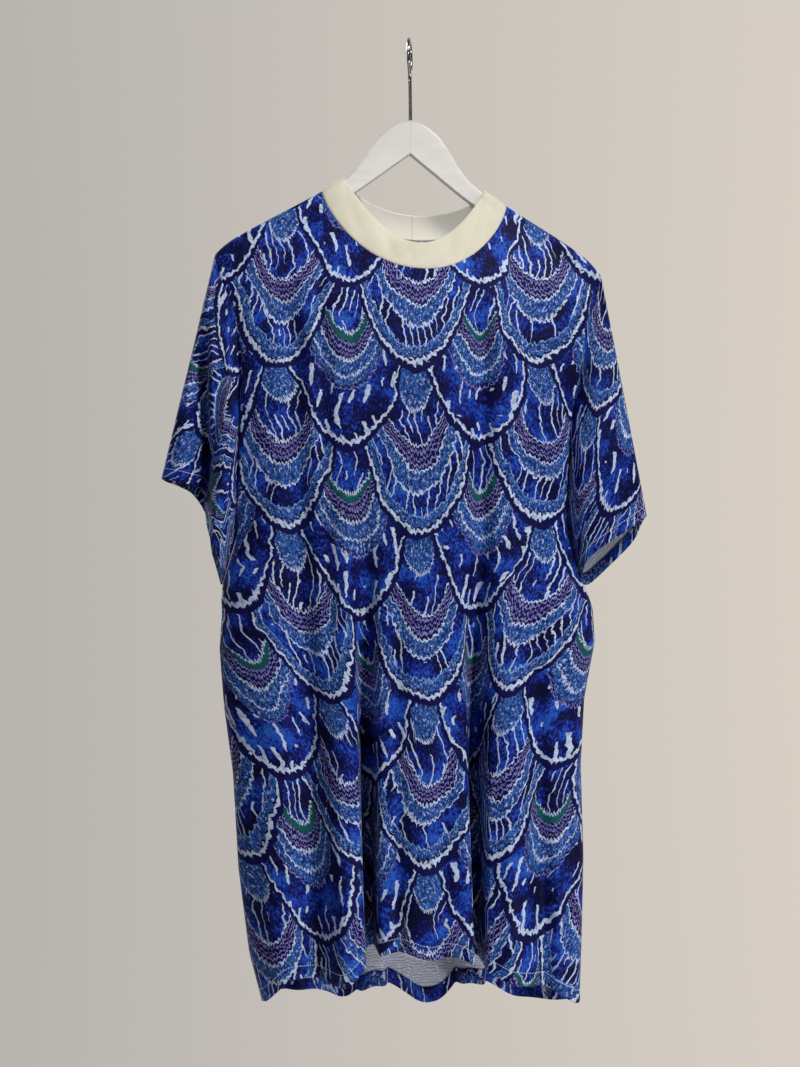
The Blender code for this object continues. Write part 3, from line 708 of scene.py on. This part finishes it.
def makeNeckband(finish):
    front = neckSeam(frontPanel, counts["bandFront"])
    back = neckSeam(backPanel, counts["bandBack"])[::-1]
    seam = np.concatenate((front, back[1:]))
    facing = np.concatenate((np.full(len(front), -1.0), np.full(len(back) - 1, 1.0)))
    seam[-1], facing[-1] = seam[0], facing[0]
    share = (seam[:, 0] - neck["centre"]) / neck["half"]
    top = bandTop(share, facing)
    t = np.linspace(0.0, 1.0, band["outerRows"] + 1)
    outer = np.array([seam + (top - seam) * k for k in t])
    toward = np.zeros_like(outer)
    toward[:, :, 1] = facing
    toward[:, :, 2] = 0.3
    normals = gridNormals(outer, True, toward)
    crown = np.sin(math.pi * t)
    outer = outer + normals * (band["swell"] * crown ** band["swellRound"])[:, None, None]
    for x, depth, half in band["dents"]:
        across = np.exp(-((outer[:, :, 0] - x) / half) ** 2) * (facing < 0.0)[None, :]
        outer = outer - normals * (depth * across * (crown ** 2)[:, None])[:, :, None]
    radius = band["thick"] / 2.0
    upward = outer[-1] - outer[-2]
    upward /= np.linalg.norm(upward, axis=1, keepdims=True)
    rows = list(outer)
    for k in range(1, band["foldRows"]):
        a = math.pi * k / band["foldRows"]
        inward = normals[-1] * radius * (1.0 - math.cos(a))
        rows.append(outer[-1] + upward * radius * math.sin(a) - inward)
    rows += [outer[k] - normals[k] * band["thick"] for k in range(band["outerRows"], -1, -1)]
    grid = np.array(rows)
    cut = cutMap(grid, 0)
    piece = gridMesh("neckband_cloth", grid, cut, None, [finish])
    turnOutward(piece, outer, normals)
    thicken(piece, band["cloth"])
    settle(piece, "neckband")
    return piece


# Hanger and hook

# the bend runs from its free tip round to where the wire sweeps back under its middle
hook = {"wire": 1.9, "radius": 17.0, "turn": math.radians(-10.0), "sink": 14.0,
        "tip": -32, "bendEnd": 224, "bendStep": 4, "sweep": 17.0, "sweepSteps": 14}


def barSection(top, under, share, outward):
    # a flat bar's rounded section between its top and under edges; outward moves a closing end
    along = (top - under) / np.linalg.norm(top - under)
    middle, tall = (top + under) / 2.0, np.linalg.norm(top - under) / 2.0
    wide = hanger["thick"] / 2.0
    points = []
    for corner, (sideY, sideZ) in enumerate(((-1, -1), (-1, 1), (1, 1), (1, -1))):
        radius = min(hanger["edgeTop"] if sideZ > 0 else hanger["edgeUnder"], 0.96 * tall)
        for degrees in np.linspace(0.0, 90.0, hanger["edgeSteps"]):
            a = math.radians(degrees if corner % 2 else 90.0 - degrees)
            y = sideY * (wide - radius + radius * math.cos(a))
            up = sideZ * (tall - radius + radius * math.sin(a))
            x, z = middle + along * up * share + outward
            points.append((x, y * share, z))
    points.append(points[0])
    return points


def makeHanger(finish):
    # half of a flat wooden bow, as sections from the middle to the tip, then the other half
    top = curveThrough(hanger["armTop"])
    under = curveThrough(hanger["armUnder"][::-1])
    shares = np.linspace(0.0, 1.0, hanger["sections"])
    tops, unders = placeAlong(top, shares), placeAlong(under, shares)
    half = [barSection(a, b, 1.0, np.zeros(2)) for a, b in zip(tops, unders)]
    reach = np.linalg.norm(tops[-1] - unders[-1]) / 2.0
    out = np.array([tops[-1][1] - unders[-1][1], unders[-1][0] - tops[-1][0]]) / (2.0 * reach)
    for degrees in (22.5, 45.0, 67.5, 90.0):
        a = math.radians(degrees)
        half.append(barSection(tops[-1], unders[-1], math.cos(a), out * reach * math.sin(a)))
    right = np.array(half)
    left = right[:0:-1] * np.array([-1.0, 1.0, 1.0])
    sections = np.concatenate((left, right))
    turned = tiltPoints(sections[:, :, [0, 2]].reshape(-1, 2)).reshape(*sections.shape[:2], 2)
    grid = np.dstack((turned[:, :, 0], sections[:, :, 1], turned[:, :, 1])).transpose(1, 0, 2)
    piece = gridMesh("hanger_wood", grid, grid[:, :, [0, 2]], None, [finish])
    bm = bmesh.new()
    bm.from_mesh(piece.data)
    bmesh.ops.dissolve_degenerate(bm, edges=bm.edges[:], dist=1e-6)
    bmesh.ops.recalc_face_normals(bm, faces=bm.faces[:])
    bm.to_mesh(piece.data)
    bm.free()
    piece.data.set_sharp_from_angle(angle=hanger["sharpAbove"])
    settle(piece, "hanger_body")


def hookRoute():
    centre = hook["wire"] - hook["radius"]
    route = []
    for degrees in range(hook["tip"], hook["bendEnd"], hook["bendStep"]):
        a = math.radians(degrees)
        route.append((hook["radius"] * math.cos(a), centre + hook["radius"] * math.sin(a)))
    endY, endZ = route[-1]
    for step in range(1, hook["sweepSteps"] + 1):
        t = step / hook["sweepSteps"]
        route.append((endY * (1.0 - t) ** 2, endZ - hook["sweep"] * t))
    route.append((0.0, hanger["entry"] - hook["sink"]))
    return route


def makeHook(finish):
    curve = bpy.data.curves.new("hook_wire", "CURVE")
    curve.dimensions = "3D"
    curve.bevel_depth = hook["wire"] * mm
    curve.bevel_resolution = 6
    curve.use_fill_caps = True
    spline = curve.splines.new("POLY")
    route = hookRoute()
    spline.points.add(len(route) - 1)
    for point, (y, z) in zip(spline.points, route):
        point.co = (-y * math.sin(hook["turn"]) * mm, y * math.cos(hook["turn"]) * mm, z * mm, 1.0)
    curve.materials.append(finish)
    settle(addObject("hook_wire", curve), "hanger_hook")


# Finishes

printLook = {
    # scale motif, in mm of cloth: width, row pitch and length
    "width": 142.0, "pitch": 86.0, "length": 196.0,
    # hand-drawn lines sway: wavelength and reach in mm, slow and quick; teeth: angle and height
    "slow": (62.0, 24.0), "quick": (7.0, 5.6), "tooth": (0.05, 0.36),
    # brush dashes: width of a column, length of a step, least and most half width, longest share
    "dash": (12.5, 40.0, 0.07, 0.2, 0.85), "comb": (7.5, 96.0, 0.06, 0.14, 1.3),
    "lean": (52.0, 0.26), "crackle": 2.9, "patch": 34.0, "fleck": 2.2, "grain": 5.0,
    # how far the grain sways a scale's teeth and a dash's sides; dash: share where it runs out
    "teethSway": 0.16, "dashSway": 0.3, "runOut": 0.75,
    # cracks: width of their soft edge and strength; shimmer of the ground: gain and shift;
    # bloom of uneven ink: where it starts and is full on the grain, and strength
    "crack": (0.03, 0.13, 0.8), "shimmer": (0.9, -0.46), "bloom": (0.45, 0.7, 0.45),
    "colours": {
        "ink": "#04062c", "navy": "#0b0e4c", "royal": "#122282", "bright": "#1f4fcc",
        "denim": "#306bc4", "sky": "#88b2ea", "pale": "#cfdffc", "lilac": "#8f8bd2",
        "teal": "#14605f",
    },
    "zones": {"line": 0.0, "crackle": 0.4, "ground": 0.7, "comb": 1.0},
    # flecks of the crackled blues and of the dark ground: place on the noise, colour
    "blues": ((0.38, "royal"), (0.46, "denim"), (0.55, "denim"), (0.63, "pale")),
    "mottled": ((0.36, "ink"), (0.44, "navy"), (0.52, "royal"), (0.60, "bright"), (0.72, "denim")),
    # bands of a scale from its hidden middle to its rim: start, colour, zone if it isn't a line
    "darkScale": (
        (0.0, "royal", "comb"), (0.35, "pale"), (0.361, "teal"), (0.40, "ink"), (0.41, "lilac"),
        (0.42, "navy"), (0.44, "lilac"), (0.45, "navy"), (0.47, "lilac"), (0.48, "navy"),
        (0.50, "pale"), (0.512, "denim", "crackle"), (0.60, "pale"), (0.61, "denim", "crackle"),
        (0.67, "navy"), (0.68, "lilac"), (0.69, "royal", "ground"), (0.945, "pale"),
        (0.965, "navy"),
    ),
    "lightScale": (
        (0.0, "denim", "crackle"), (0.31, "pale"), (0.322, "royal", "comb"), (0.53, "pale"),
        (0.542, "navy"), (0.557, "lilac"), (0.567, "navy"), (0.587, "lilac"), (0.597, "navy"),
        (0.617, "lilac"), (0.627, "navy"), (0.645, "pale"), (0.658, "denim", "crackle"),
        (0.745, "pale"), (0.755, "royal", "comb"), (0.87, "sky"), (0.878, "denim", "crackle"),
        (0.93, "navy"), (0.945, "pale"), (0.965, "navy"),
    ),
}


def printPlace(tree):
    # millimetres of cloth from the flat cut, then the same swayed as a drawn line is
    uv = addNode(tree, "UVMap", uv_map="cut")
    real = addNode(tree, "VectorMath", (uv, (1000.0, 1000.0, 1000.0)), operation="MULTIPLY")
    moved = real
    for wave, reach in (printLook["slow"], printLook["quick"]):
        drift = addNode(tree, "TexNoise", {"Vector": real, "Scale": 1.0 / wave, "Detail": 2.0})
        drift = addNode(tree, "VectorMath", (drift.outputs["Color"], (0.5, 0.5, 0.5)),
                        operation="SUBTRACT")
        moved = addNode(tree, "VectorMath", (drift, (reach, reach, 0.0), moved),
                        operation="MULTIPLY_ADD")
    return real, moved


def scaleMotif(tree, moved):
    # rows of long scales, each row over the next; a point gets its place in the topmost one
    place = addNode(tree, "SeparateXYZ", (moved,))
    across = addNode(tree, "Math", (place.outputs[0], printLook["width"]), operation="DIVIDE")
    down = addNode(tree, "Math", (place.outputs[1], printLook["pitch"]), operation="DIVIDE")
    base = addNode(tree, "Math", (down,), operation="FLOOR")
    top = None
    for shift in (1.0, 0.0, -1.0, -2.0):
        row = addNode(tree, "Math", (base, shift), operation="ADD")
        odd = addNode(tree, "Math", (row, 2.0), operation="FLOORED_MODULO")
        column = addNode(tree, "Math", (odd, 0.5, across), operation="MULTIPLY_ADD")
        column = addNode(tree, "Math", (column,), operation="FRACT")
        a = addNode(tree, "Math", (column, 2.0, -1.0), operation="MULTIPLY_ADD")
        b = addNode(tree, "Math", (down, row), operation="SUBTRACT")
        b = addNode(tree, "Math", (b, printLook["pitch"] / printLook["length"]),
                    operation="MULTIPLY")
        facts = addNode(tree, "CombineXYZ", (a, b, row))
        if top is None:
            top = facts
            continue
        flat = addNode(tree, "CombineXYZ", (a, b))
        far = addNode(tree, "VectorMath", (flat,), operation="LENGTH")
        inside = addNode(tree, "Math", (far, 1.0), operation="LESS_THAN")
        top = addNode(tree, "Mix", {0: inside, 4: top, 5: facts}, data_type="VECTOR")
    return addNode(tree, "SeparateXYZ", (top,))


def brushDashes(tree, moved, quick, plan):
    # short upright dashes in loose columns, each with its own start, length and width
    width, step, least, most, longest = plan
    reach, slope = printLook["lean"]
    place = addNode(tree, "SeparateXYZ", (moved,))
    lean = addNode(tree, "Math", (place.outputs[1], reach), operation="PINGPONG")
    across = addNode(tree, "Math", (lean, slope, place.outputs[0]), operation="MULTIPLY_ADD")
    across = addNode(tree, "Math", (across, width), operation="DIVIDE")
    column = addNode(tree, "Math", (across,), operation="FLOOR")
    start = addNode(tree, "TexWhiteNoise", {"W": column}, noise_dimensions="1D")
    down = addNode(tree, "Math", (place.outputs[1], step), operation="DIVIDE")
    down = addNode(tree, "Math", (start, 3.0, down), operation="MULTIPLY_ADD")
    one = addNode(tree, "Math", (down,), operation="FLOOR")
    name = addNode(tree, "CombineXYZ", (column, one))
    chance = addNode(tree, "TexWhiteNoise", {"Vector": name}, noise_dimensions="2D")
    chance = addNode(tree, "SeparateXYZ", (chance.outputs["Color"],))
    within = addNode(tree, "Math", (down,), operation="FRACT")
    length = addNode(tree, "Math", (chance.outputs[0], longest), operation="MULTIPLY")
    # a dash is full in the middle and runs out at both ends
    share = addNode(tree, "Math", (within, length), operation="DIVIDE")
    taper = addNode(tree, "MapRange", {0: share, 1: printLook["runOut"], 2: 1.0, 3: 1.0, 4: 0.0})
    taper = addNode(tree, "Math", (taper, 0.4), operation="POWER")
    offMiddle = addNode(tree, "Math", (across,), operation="FRACT")
    offMiddle = addNode(tree, "Math", (offMiddle, 0.5), operation="SUBTRACT")
    offMiddle = addNode(tree, "Math", (offMiddle,), operation="ABSOLUTE")
    # the grain averages one half, so half of its sway comes off the width
    sway = printLook["dashSway"]
    half = addNode(tree, "Math", (chance.outputs[1], most - least, least - sway / 2.0),
                   operation="MULTIPLY_ADD")
    half = addNode(tree, "Math", (quick, sway, half), operation="MULTIPLY_ADD")
    half = addNode(tree, "Math", (half, taper), operation="MULTIPLY")
    return addNode(tree, "Math", (offMiddle, half), operation="LESS_THAN")


def scaleBands(tree, motif, quick):
    # the bands of the topmost scale with ragged edges: their colour, and which zone they belong to
    look, (tooth, high) = printLook["colours"], printLook["tooth"]
    flat = addNode(tree, "CombineXYZ", (motif.outputs[0], motif.outputs[1]))
    distance = addNode(tree, "VectorMath", (flat,), operation="LENGTH")
    angle = addNode(tree, "Math", (motif.outputs[0], motif.outputs[1]), operation="ARCTAN2")
    angle = addNode(tree, "Math", (quick, printLook["teethSway"], angle), operation="MULTIPLY_ADD")
    teeth = addNode(tree, "Math", (angle, tooth), operation="PINGPONG")
    high = addNode(tree, "Math", (quick, high * 2.0), operation="MULTIPLY")
    ragged = addNode(tree, "Math", (teeth, high, distance), operation="MULTIPLY_ADD")
    odd = addNode(tree, "Math", (motif.outputs[2], 2.0), operation="FLOORED_MODULO")
    dark, light = (addNode(tree, "ValToRGB", (ragged,), blend="CONSTANT", stops=[
        (start, (*hexColour(look[colour])[:3], printLook["zones"][zone[0] if zone else "line"]))
        for start, colour, *zone in printLook[plan]]) for plan in ("darkScale", "lightScale"))
    colour = addNode(tree, "Mix", {0: odd, 6: dark.outputs[0], 7: light.outputs[0]},
                     data_type="RGBA")
    return colour, addNode(tree, "Mix", {0: odd, 2: dark.outputs[1], 3: light.outputs[1]})


def printColour(tree):
    look = {name: hexColour(code) for name, code in printLook["colours"].items()}
    zones = printLook["zones"]
    real, moved = printPlace(tree)
    quick = addNode(tree, "TexNoise", {"Vector": real, "Scale": 1.0 / printLook["grain"],
                                       "Detail": 3.0})
    colour, zone = scaleBands(tree, scaleMotif(tree, moved), quick)
    # crackle: small upright cells with dark cracks between them, and flecks of every blue
    upright = addNode(tree, "VectorMath", (moved, (1.0, 0.5, 1.0)), operation="MULTIPLY")
    flecks = addNode(tree, "TexNoise", {"Vector": upright, "Scale": 1.0 / printLook["fleck"],
                                        "Detail": 3.0, "Roughness": 0.7})
    cells = addNode(tree, "TexVoronoi", {"Vector": upright, "Scale": 1.0 / printLook["crackle"]},
                    feature="DISTANCE_TO_EDGE")
    blues = addNode(tree, "ValToRGB", (flecks,), stops=[(place, look[name])
                                                        for place, name in printLook["blues"]])
    start, end, full = printLook["crack"]
    crack = addNode(tree, "MapRange", {0: cells, 1: start, 2: end, 3: full, 4: 0.0})
    crackled = addNode(tree, "Mix", {0: crack, 6: blues, 7: look["navy"]}, data_type="RGBA")
    inCrackle = addNode(tree, "Math", (zone, zones["crackle"], 0.1), operation="COMPARE")
    colour = addNode(tree, "Mix", {0: inCrackle, 6: colour, 7: crackled}, data_type="RGBA")
    # dark ground: plain in places, and in others shimmering with upright flecks
    patch = addNode(tree, "TexNoise", {"Vector": real, "Scale": 1.0 / printLook["patch"]})
    shimmer = addNode(tree, "Math", (patch, *printLook["shimmer"]), operation="MULTIPLY_ADD")
    shimmer = addNode(tree, "Math", (shimmer, flecks), operation="ADD")
    mottled = addNode(tree, "ValToRGB", (shimmer,), stops=[(place, look[name])
                                                           for place, name in printLook["mottled"]])
    inGround = addNode(tree, "Math", (zone, (zones["crackle"] + zones["ground"]) / 2.0),
                       operation="GREATER_THAN")
    inComb = addNode(tree, "Math", (zone, (zones["ground"] + zones["comb"]) / 2.0),
                     operation="GREATER_THAN")
    colour = addNode(tree, "Mix", {0: inGround, 6: colour, 7: mottled}, data_type="RGBA")
    # pale dashes over it, long thin ones like a comb in the comb zone
    dashes = brushDashes(tree, moved, quick, printLook["dash"])
    combed = brushDashes(tree, moved, quick, printLook["comb"])
    dashes = addNode(tree, "Mix", {0: inComb, 2: dashes, 3: combed})
    dashes = addNode(tree, "Math", (dashes, inGround), operation="MULTIPLY")
    colour = addNode(tree, "Mix", {0: dashes, 6: colour, 7: look["pale"]}, data_type="RGBA")
    # the ink took unevenly: a faint dark bloom everywhere
    start, end, full = printLook["bloom"]
    bloom = addNode(tree, "MapRange", {0: quick, 1: start, 2: end, 4: full})
    colour = addNode(tree, "Mix", {0: bloom, 6: colour, 7: look["navy"]}, data_type="RGBA")
    return real, colour


def newMaterial(name, **values):
    finish = bpy.data.materials.new(name)
    finish.use_nodes = True
    shader = finish.node_tree.nodes["Principled BSDF"]
    for socket, value in values.items():
        shader.inputs[socket.replace("_", " ")].default_value = value
    return finish, finish.node_tree, shader


def knitBump(tree, shader, vector, size, strength, depth):
    # jersey loops are drawn about 1 mm wide, coarser than life, so that they show
    grain = addNode(tree, "TexNoise", {"Vector": vector, "Scale": 1.0 / size, "Detail": 2.0})
    bump = addNode(tree, "Bump", {"Height": grain, "Strength": strength, "Distance": depth * mm})
    tree.links.new(bump.outputs[0], shader.inputs["Normal"])


def printedJersey():
    # printed viscose jersey, knitted: smooth and limp, almost without sheen, so the ink stays deep
    finish, tree, shader = newMaterial("printed viscose jersey", Roughness=0.6, Sheen_Weight=0.02,
                                       Sheen_Roughness=0.4, Specular_IOR_Level=0.12)
    real, colour = printColour(tree)
    tree.links.new(colour.outputs[2], shader.inputs["Base Color"])
    knitBump(tree, shader, real, size=0.9, strength=0.25, depth=0.15)
    return finish


wrongLook = {"cloth": "#fafcff", "ink": "#39466f", "showThrough": 0.3, "lineGap": 3.14,
             "lines": (0.55, 0.95, 0.5)}  # where they start and are full on the wave; strength


def wrongSide():
    # the unprinted wrong side: matte and pale, the print shows through it only faintly
    finish, tree, shader = newMaterial("jersey wrong side", Roughness=0.85, Sheen_Weight=0.1,
                                       Specular_IOR_Level=0.25)
    real, colour = printColour(tree)
    faint = addNode(tree, "Mix", {0: wrongLook["showThrough"], 6: hexColour(wrongLook["cloth"]),
                                  7: colour}, data_type="RGBA")
    # the ink came through in thin wavy lines; a wave texture repeats after 0.314 of its scale
    lines = addNode(tree, "TexWave", {"Vector": real, "Scale": 0.314 / wrongLook["lineGap"],
                                      "Distortion": 7.0, "Detail": 2.0, "Detail Scale": 1.2},
                    bands_direction="Y")
    start, end, full = wrongLook["lines"]
    lines = addNode(tree, "MapRange", {0: lines, 1: start, 2: end, 4: full})
    faint = addNode(tree, "Mix", {0: lines, 6: faint, 7: hexColour(wrongLook["ink"])},
                    data_type="RGBA")
    tree.links.new(faint.outputs[2], shader.inputs["Base Color"])
    knitBump(tree, shader, real, size=0.9, strength=0.3, depth=0.15)
    return finish


# inside: a paler cream painted over the band's back half as painted light, where the inside lies in
# shade
bandLook = {"low": "#d8d3bd", "high": "#e2decd", "inside": "#f2efe3", "joint": "#cbc6b6",
            "cloud": 30.0, "jointHalf": 0.3, "paintedLightFrom": (0.0, 12.0)}


def creamJersey():
    # heavier knitted band, undyed cream: matte, softly clouded
    finish, tree, shader = newMaterial("cream knitted band", Roughness=0.88, Sheen_Weight=0.15,
                                       Specular_IOR_Level=0.2)
    uv = addNode(tree, "UVMap", uv_map="cut")
    real = addNode(tree, "Mapping", {"Vector": uv, "Scale": (1000.0, 1000.0, 1000.0)})
    cloud = addNode(tree, "TexNoise", {"Vector": real, "Scale": 1.0 / bandLook["cloud"],
                                       "Detail": 3.0})
    tone = addNode(tree, "ValToRGB", (cloud,), stops=[(0.3, hexColour(bandLook["low"])),
                                                      (0.7, hexColour(bandLook["high"]))])
    # its back half, which is seen from inside, is painted paler: painted light that lifts the inside
    # where it lies in shade
    place = addNode(tree, "TexCoord")
    place = addNode(tree, "SeparateXYZ", {0: place.outputs["Object"]})
    start, end = (y * mm for y in bandLook["paintedLightFrom"])
    paintedLight = addNode(tree, "MapRange", {0: place.outputs[1], 1: start, 2: end})
    tone = addNode(tree, "Mix", {0: paintedLight, 6: tone, 7: hexColour(bandLook["inside"])},
                   data_type="RGBA")
    # the hairline where its two ends are joined, at the middle of the back
    joint = addNode(tree, "Math", (place.outputs[0], neck["centre"] * mm, bandLook["jointHalf"] * mm),
                    operation="COMPARE")
    behind = addNode(tree, "Math", (place.outputs[1], 0.0), operation="GREATER_THAN")
    joint = addNode(tree, "Math", (joint, behind), operation="MULTIPLY")
    colour = addNode(tree, "Mix", {0: joint, 6: tone, 7: hexColour(bandLook["joint"])},
                     data_type="RGBA")
    tree.links.new(colour.outputs[2], shader.inputs["Base Color"])
    knitBump(tree, shader, real, size=0.8, strength=0.3, depth=0.12)
    return finish


# brush marks: length along the bow, and width through it and down it
woodLook = {"low": "#d6d4cf", "high": "#dedcd7", "joint": "#c4c3c0", "marks": (40.0, 3.33, 6.25),
            "jointHalf": 0.35}


def paintedWood():
    # satin white paint over wood: almost flat, with faint brush marks along the bow and the
    # hairline where its two halves meet under the hook
    finish, tree, shader = newMaterial("satin white paint", Roughness=0.38, Coat_Weight=0.15,
                                       Coat_Roughness=0.3)
    place = addNode(tree, "TexCoord").outputs["Object"]
    real = addNode(tree, "Mapping", {"Vector": place,
                                     "Scale": [1.0 / (size * mm) for size in woodLook["marks"]]})
    brush = addNode(tree, "TexNoise", {"Vector": real, "Scale": 1.0, "Detail": 3.0})
    tone = addNode(tree, "ValToRGB", (brush,), stops=[(0.3, hexColour(woodLook["low"])),
                                                      (0.7, hexColour(woodLook["high"]))])
    c, s = math.cos(hanger["tilt"]), math.sin(hanger["tilt"])
    off = addNode(tree, "VectorMath", (place, (c, 0.0, -s)), operation="DOT_PRODUCT")
    off = addNode(tree, "Math", (off, hanger["entry"] * mm * s), operation="ADD")
    off = addNode(tree, "Math", (off,), operation="ABSOLUTE")
    joint = addNode(tree, "Math", (off, woodLook["jointHalf"] * mm), operation="LESS_THAN")
    colour = addNode(tree, "Mix", {0: joint, 6: tone, 7: hexColour(woodLook["joint"])},
                     data_type="RGBA")
    tree.links.new(colour.outputs[2], shader.inputs["Base Color"])
    bump = addNode(tree, "Bump", {"Height": brush, "Strength": 0.06, "Distance": 0.2 * mm})
    tree.links.new(bump.outputs[0], shader.inputs["Normal"])
    return finish


def mottledFinish(name, low, high, grain, **values):
    # one colour that varies a little over a real size in mm
    finish, tree, shader = newMaterial(name, **values)
    place = addNode(tree, "TexCoord")
    noiseNode = addNode(tree, "TexNoise", {"Vector": place.outputs["Object"],
                                           "Scale": 1.0 / (grain * mm), "Detail": 2.0})
    tone = addNode(tree, "ValToRGB", (noiseNode,), stops=[(0.3, hexColour(low)),
                                                          (0.7, hexColour(high))])
    tree.links.new(tone.outputs[0], shader.inputs["Base Color"])
    return finish


def platedWire():
    # drawn steel wire, nickel plated: sharp narrow highlights between dark reflections
    return mottledFinish("nickel plated wire", "#a9aaac", "#c9cacc", 1.11, Metallic=1.0,
                         Roughness=0.18)


def sewingThread():
    # spun polyester thread: pale and a little smoother than the cloth, so each stitch shows
    return mottledFinish("pale polyester thread", "#c6d3ee", "#e4ecfa", 0.667, Roughness=0.5)


# Camera, light and stage

view = {"lens": 47.74, "place": (-147.1, -1492.9, -520.9), "yaw": math.radians(5.0),
        "roll": math.radians(0.7)}


def makeCamera():
    data = bpy.data.cameras.new("camera")
    data.lens = view["lens"]
    camera = addObject("camera", data)
    forward = Vector((math.sin(view["yaw"]), math.cos(view["yaw"]), 0.0))
    level = Vector((math.cos(view["yaw"]), -math.sin(view["yaw"]), 0.0))
    up = Vector((0.0, 0.0, 1.0))
    c, s = math.cos(view["roll"]), math.sin(view["roll"])
    turn = Matrix((level * c - up * s, up * c + level * s, -forward)).transposed()
    camera.matrix_world = Matrix.Translation(Vector(view["place"]) * mm) @ turn.to_4x4()
    bpy.context.scene.camera = camera


studio = {
    "floor": "#d9d6d0", "floorRadius": 1.25, "floorHeight": -1.62,
    "leftWall": "#b2b0ac", "rightWall": "#dad1c6", "front": "#36363d",
    # ways in which the dark front turns to pale wall, and the left of the wall to its right
    "toWall": (-0.1, 0.9), "toRight": (-0.25, 0.4),
    # soft round lights: place, what they look at, size, power and colour
    "lights": {
        "key": ((1.25, -1.7, 1.5), (0.0, 0.0, -0.5), 0.5, 52.0, "#fffbf5"),
        "fill": ((-1.6, -1.5, -0.2), (0.0, 0.0, -0.6), 1.6, 3.0, "#e6ecff"),
        "low": ((1.1, -1.2, -1.55), (0.0, 0.0, -1.0), 0.6, 10.0, "#f2f6ff"),
        "high": ((-0.9, -1.5, 0.9), (0.0, 0.0, -0.25), 0.8, 3.0, "#fffaf3"),
        "rear": ((-1.3, 1.7, 1.0), (0.0, 0.0, -0.5), 0.6, 26.0, "#ffffff"),
    },
    # a narrow spot that reaches the inside of the neckband: the same, with its full angle
    "neck": ((-0.16, -1.4, -0.1), (0.003, 0.02, -0.172), 0.12, 34.0, "#ffffff"),
    "neckAngle": math.radians(13.0),
}


def makeLight(name, kind, place, target, size, power, colour):
    data = bpy.data.lights.new(name, kind)
    data.energy = power
    data.color = hexColour(colour)[:3]
    if kind == "AREA":
        data.shape = "DISK"
        data.size = size
    else:
        data.shadow_soft_size = size
        data.spot_size, data.spot_blend = studio["neckAngle"], 1.0
    light = addObject(name, data)
    light.location = place
    light.rotation_euler = (Vector(target) - Vector(place)).to_track_quat("-Z", "Y").to_euler()


def makeFloor():
    bm = bmesh.new()
    bmesh.ops.create_circle(bm, cap_ends=True, segments=64, radius=studio["floorRadius"])
    bmesh.ops.translate(bm, verts=bm.verts[:], vec=(0.0, 0.0, studio["floorHeight"]))
    mesh = bpy.data.meshes.new("floor")
    bm.to_mesh(mesh)
    bm.free()
    finish, tree, shader = newMaterial("pale matte floor", Roughness=0.9)
    shader.inputs["Base Color"].default_value = hexColour(studio["floor"])
    mesh.materials.append(finish)
    addObject("floor", mesh)


def makeBackdrop():
    # the studio is brighter behind the dress than in front of it
    world = bpy.data.worlds.new("studio")
    world.use_nodes = True
    tree = world.node_tree
    way = addNode(tree, "TexCoord")
    parts = addNode(tree, "SeparateXYZ", {0: way.outputs["Generated"]})
    start, end = studio["toWall"]
    toWall = addNode(tree, "MapRange", {0: parts.outputs[1], 1: start, 2: end})
    start, end = studio["toRight"]
    toRight = addNode(tree, "MapRange", {0: parts.outputs[0], 1: start, 2: end})
    wall = addNode(tree, "Mix", {0: toRight, 6: hexColour(studio["leftWall"]),
                                 7: hexColour(studio["rightWall"])}, data_type="RGBA")
    tone = addNode(tree, "Mix", {0: toWall, 6: hexColour(studio["front"]), 7: wall},
                   data_type="RGBA")
    # the backdrop itself looks pale from every side, and lights the dress as above
    ray = addNode(tree, "LightPath")
    seen = addNode(tree, "Mix", {0: ray.outputs["Is Camera Ray"], 6: tone, 7: wall},
                   data_type="RGBA")
    tree.links.new(seen.outputs[2], tree.nodes["Background"].inputs["Color"])
    bpy.context.scene.world = world
    bpy.context.scene.view_settings.view_transform = "Standard"


makeCamera()
makeFloor()
makeBackdrop()
for lightName, values in studio["lights"].items():
    makeLight(lightName, "AREA", *values)
makeLight("neck", "SPOT", *studio["neck"])
jersey, inside, cream = printedJersey(), wrongSide(), creamJersey()
print("camera, stage and finishes made")
frontPiece, frontGrid, frontNormals = makePanel("body_front", frontPanel, [jersey, inside])
backPiece, backGrid, backNormals = makePanel("body_back", backPanel, [jersey, inside])
print("body panels made")
leftPiece, leftGrid, leftNormals = makeSleeve("sleeve_left", leftSleeve, [jersey, inside])
rightPiece, rightGrid, rightNormals = makeSleeve("sleeve_right", rightSleeve, [jersey, inside])
print("sleeves made")
bandPiece = makeNeckband(cream)
makeHanger(paintedWood())
makeHook(platedWire())
print("neckband, hanger and hook made")
thread = sewingThread()
frontSewn = sewRow("hem_stitches_front", frontGrid, frontNormals, stitch["hem"], thread)
backSewn = sewRow("hem_stitches_back", backGrid, backNormals, stitch["hem"], thread)
leftSewn = sewRow("cuff_stitches_left", leftGrid, leftNormals, stitch["cuff"], thread)
rightSewn = sewRow("cuff_stitches_right", rightGrid, rightNormals, stitch["cuff"], thread)
print("hems and cuffs sewn")
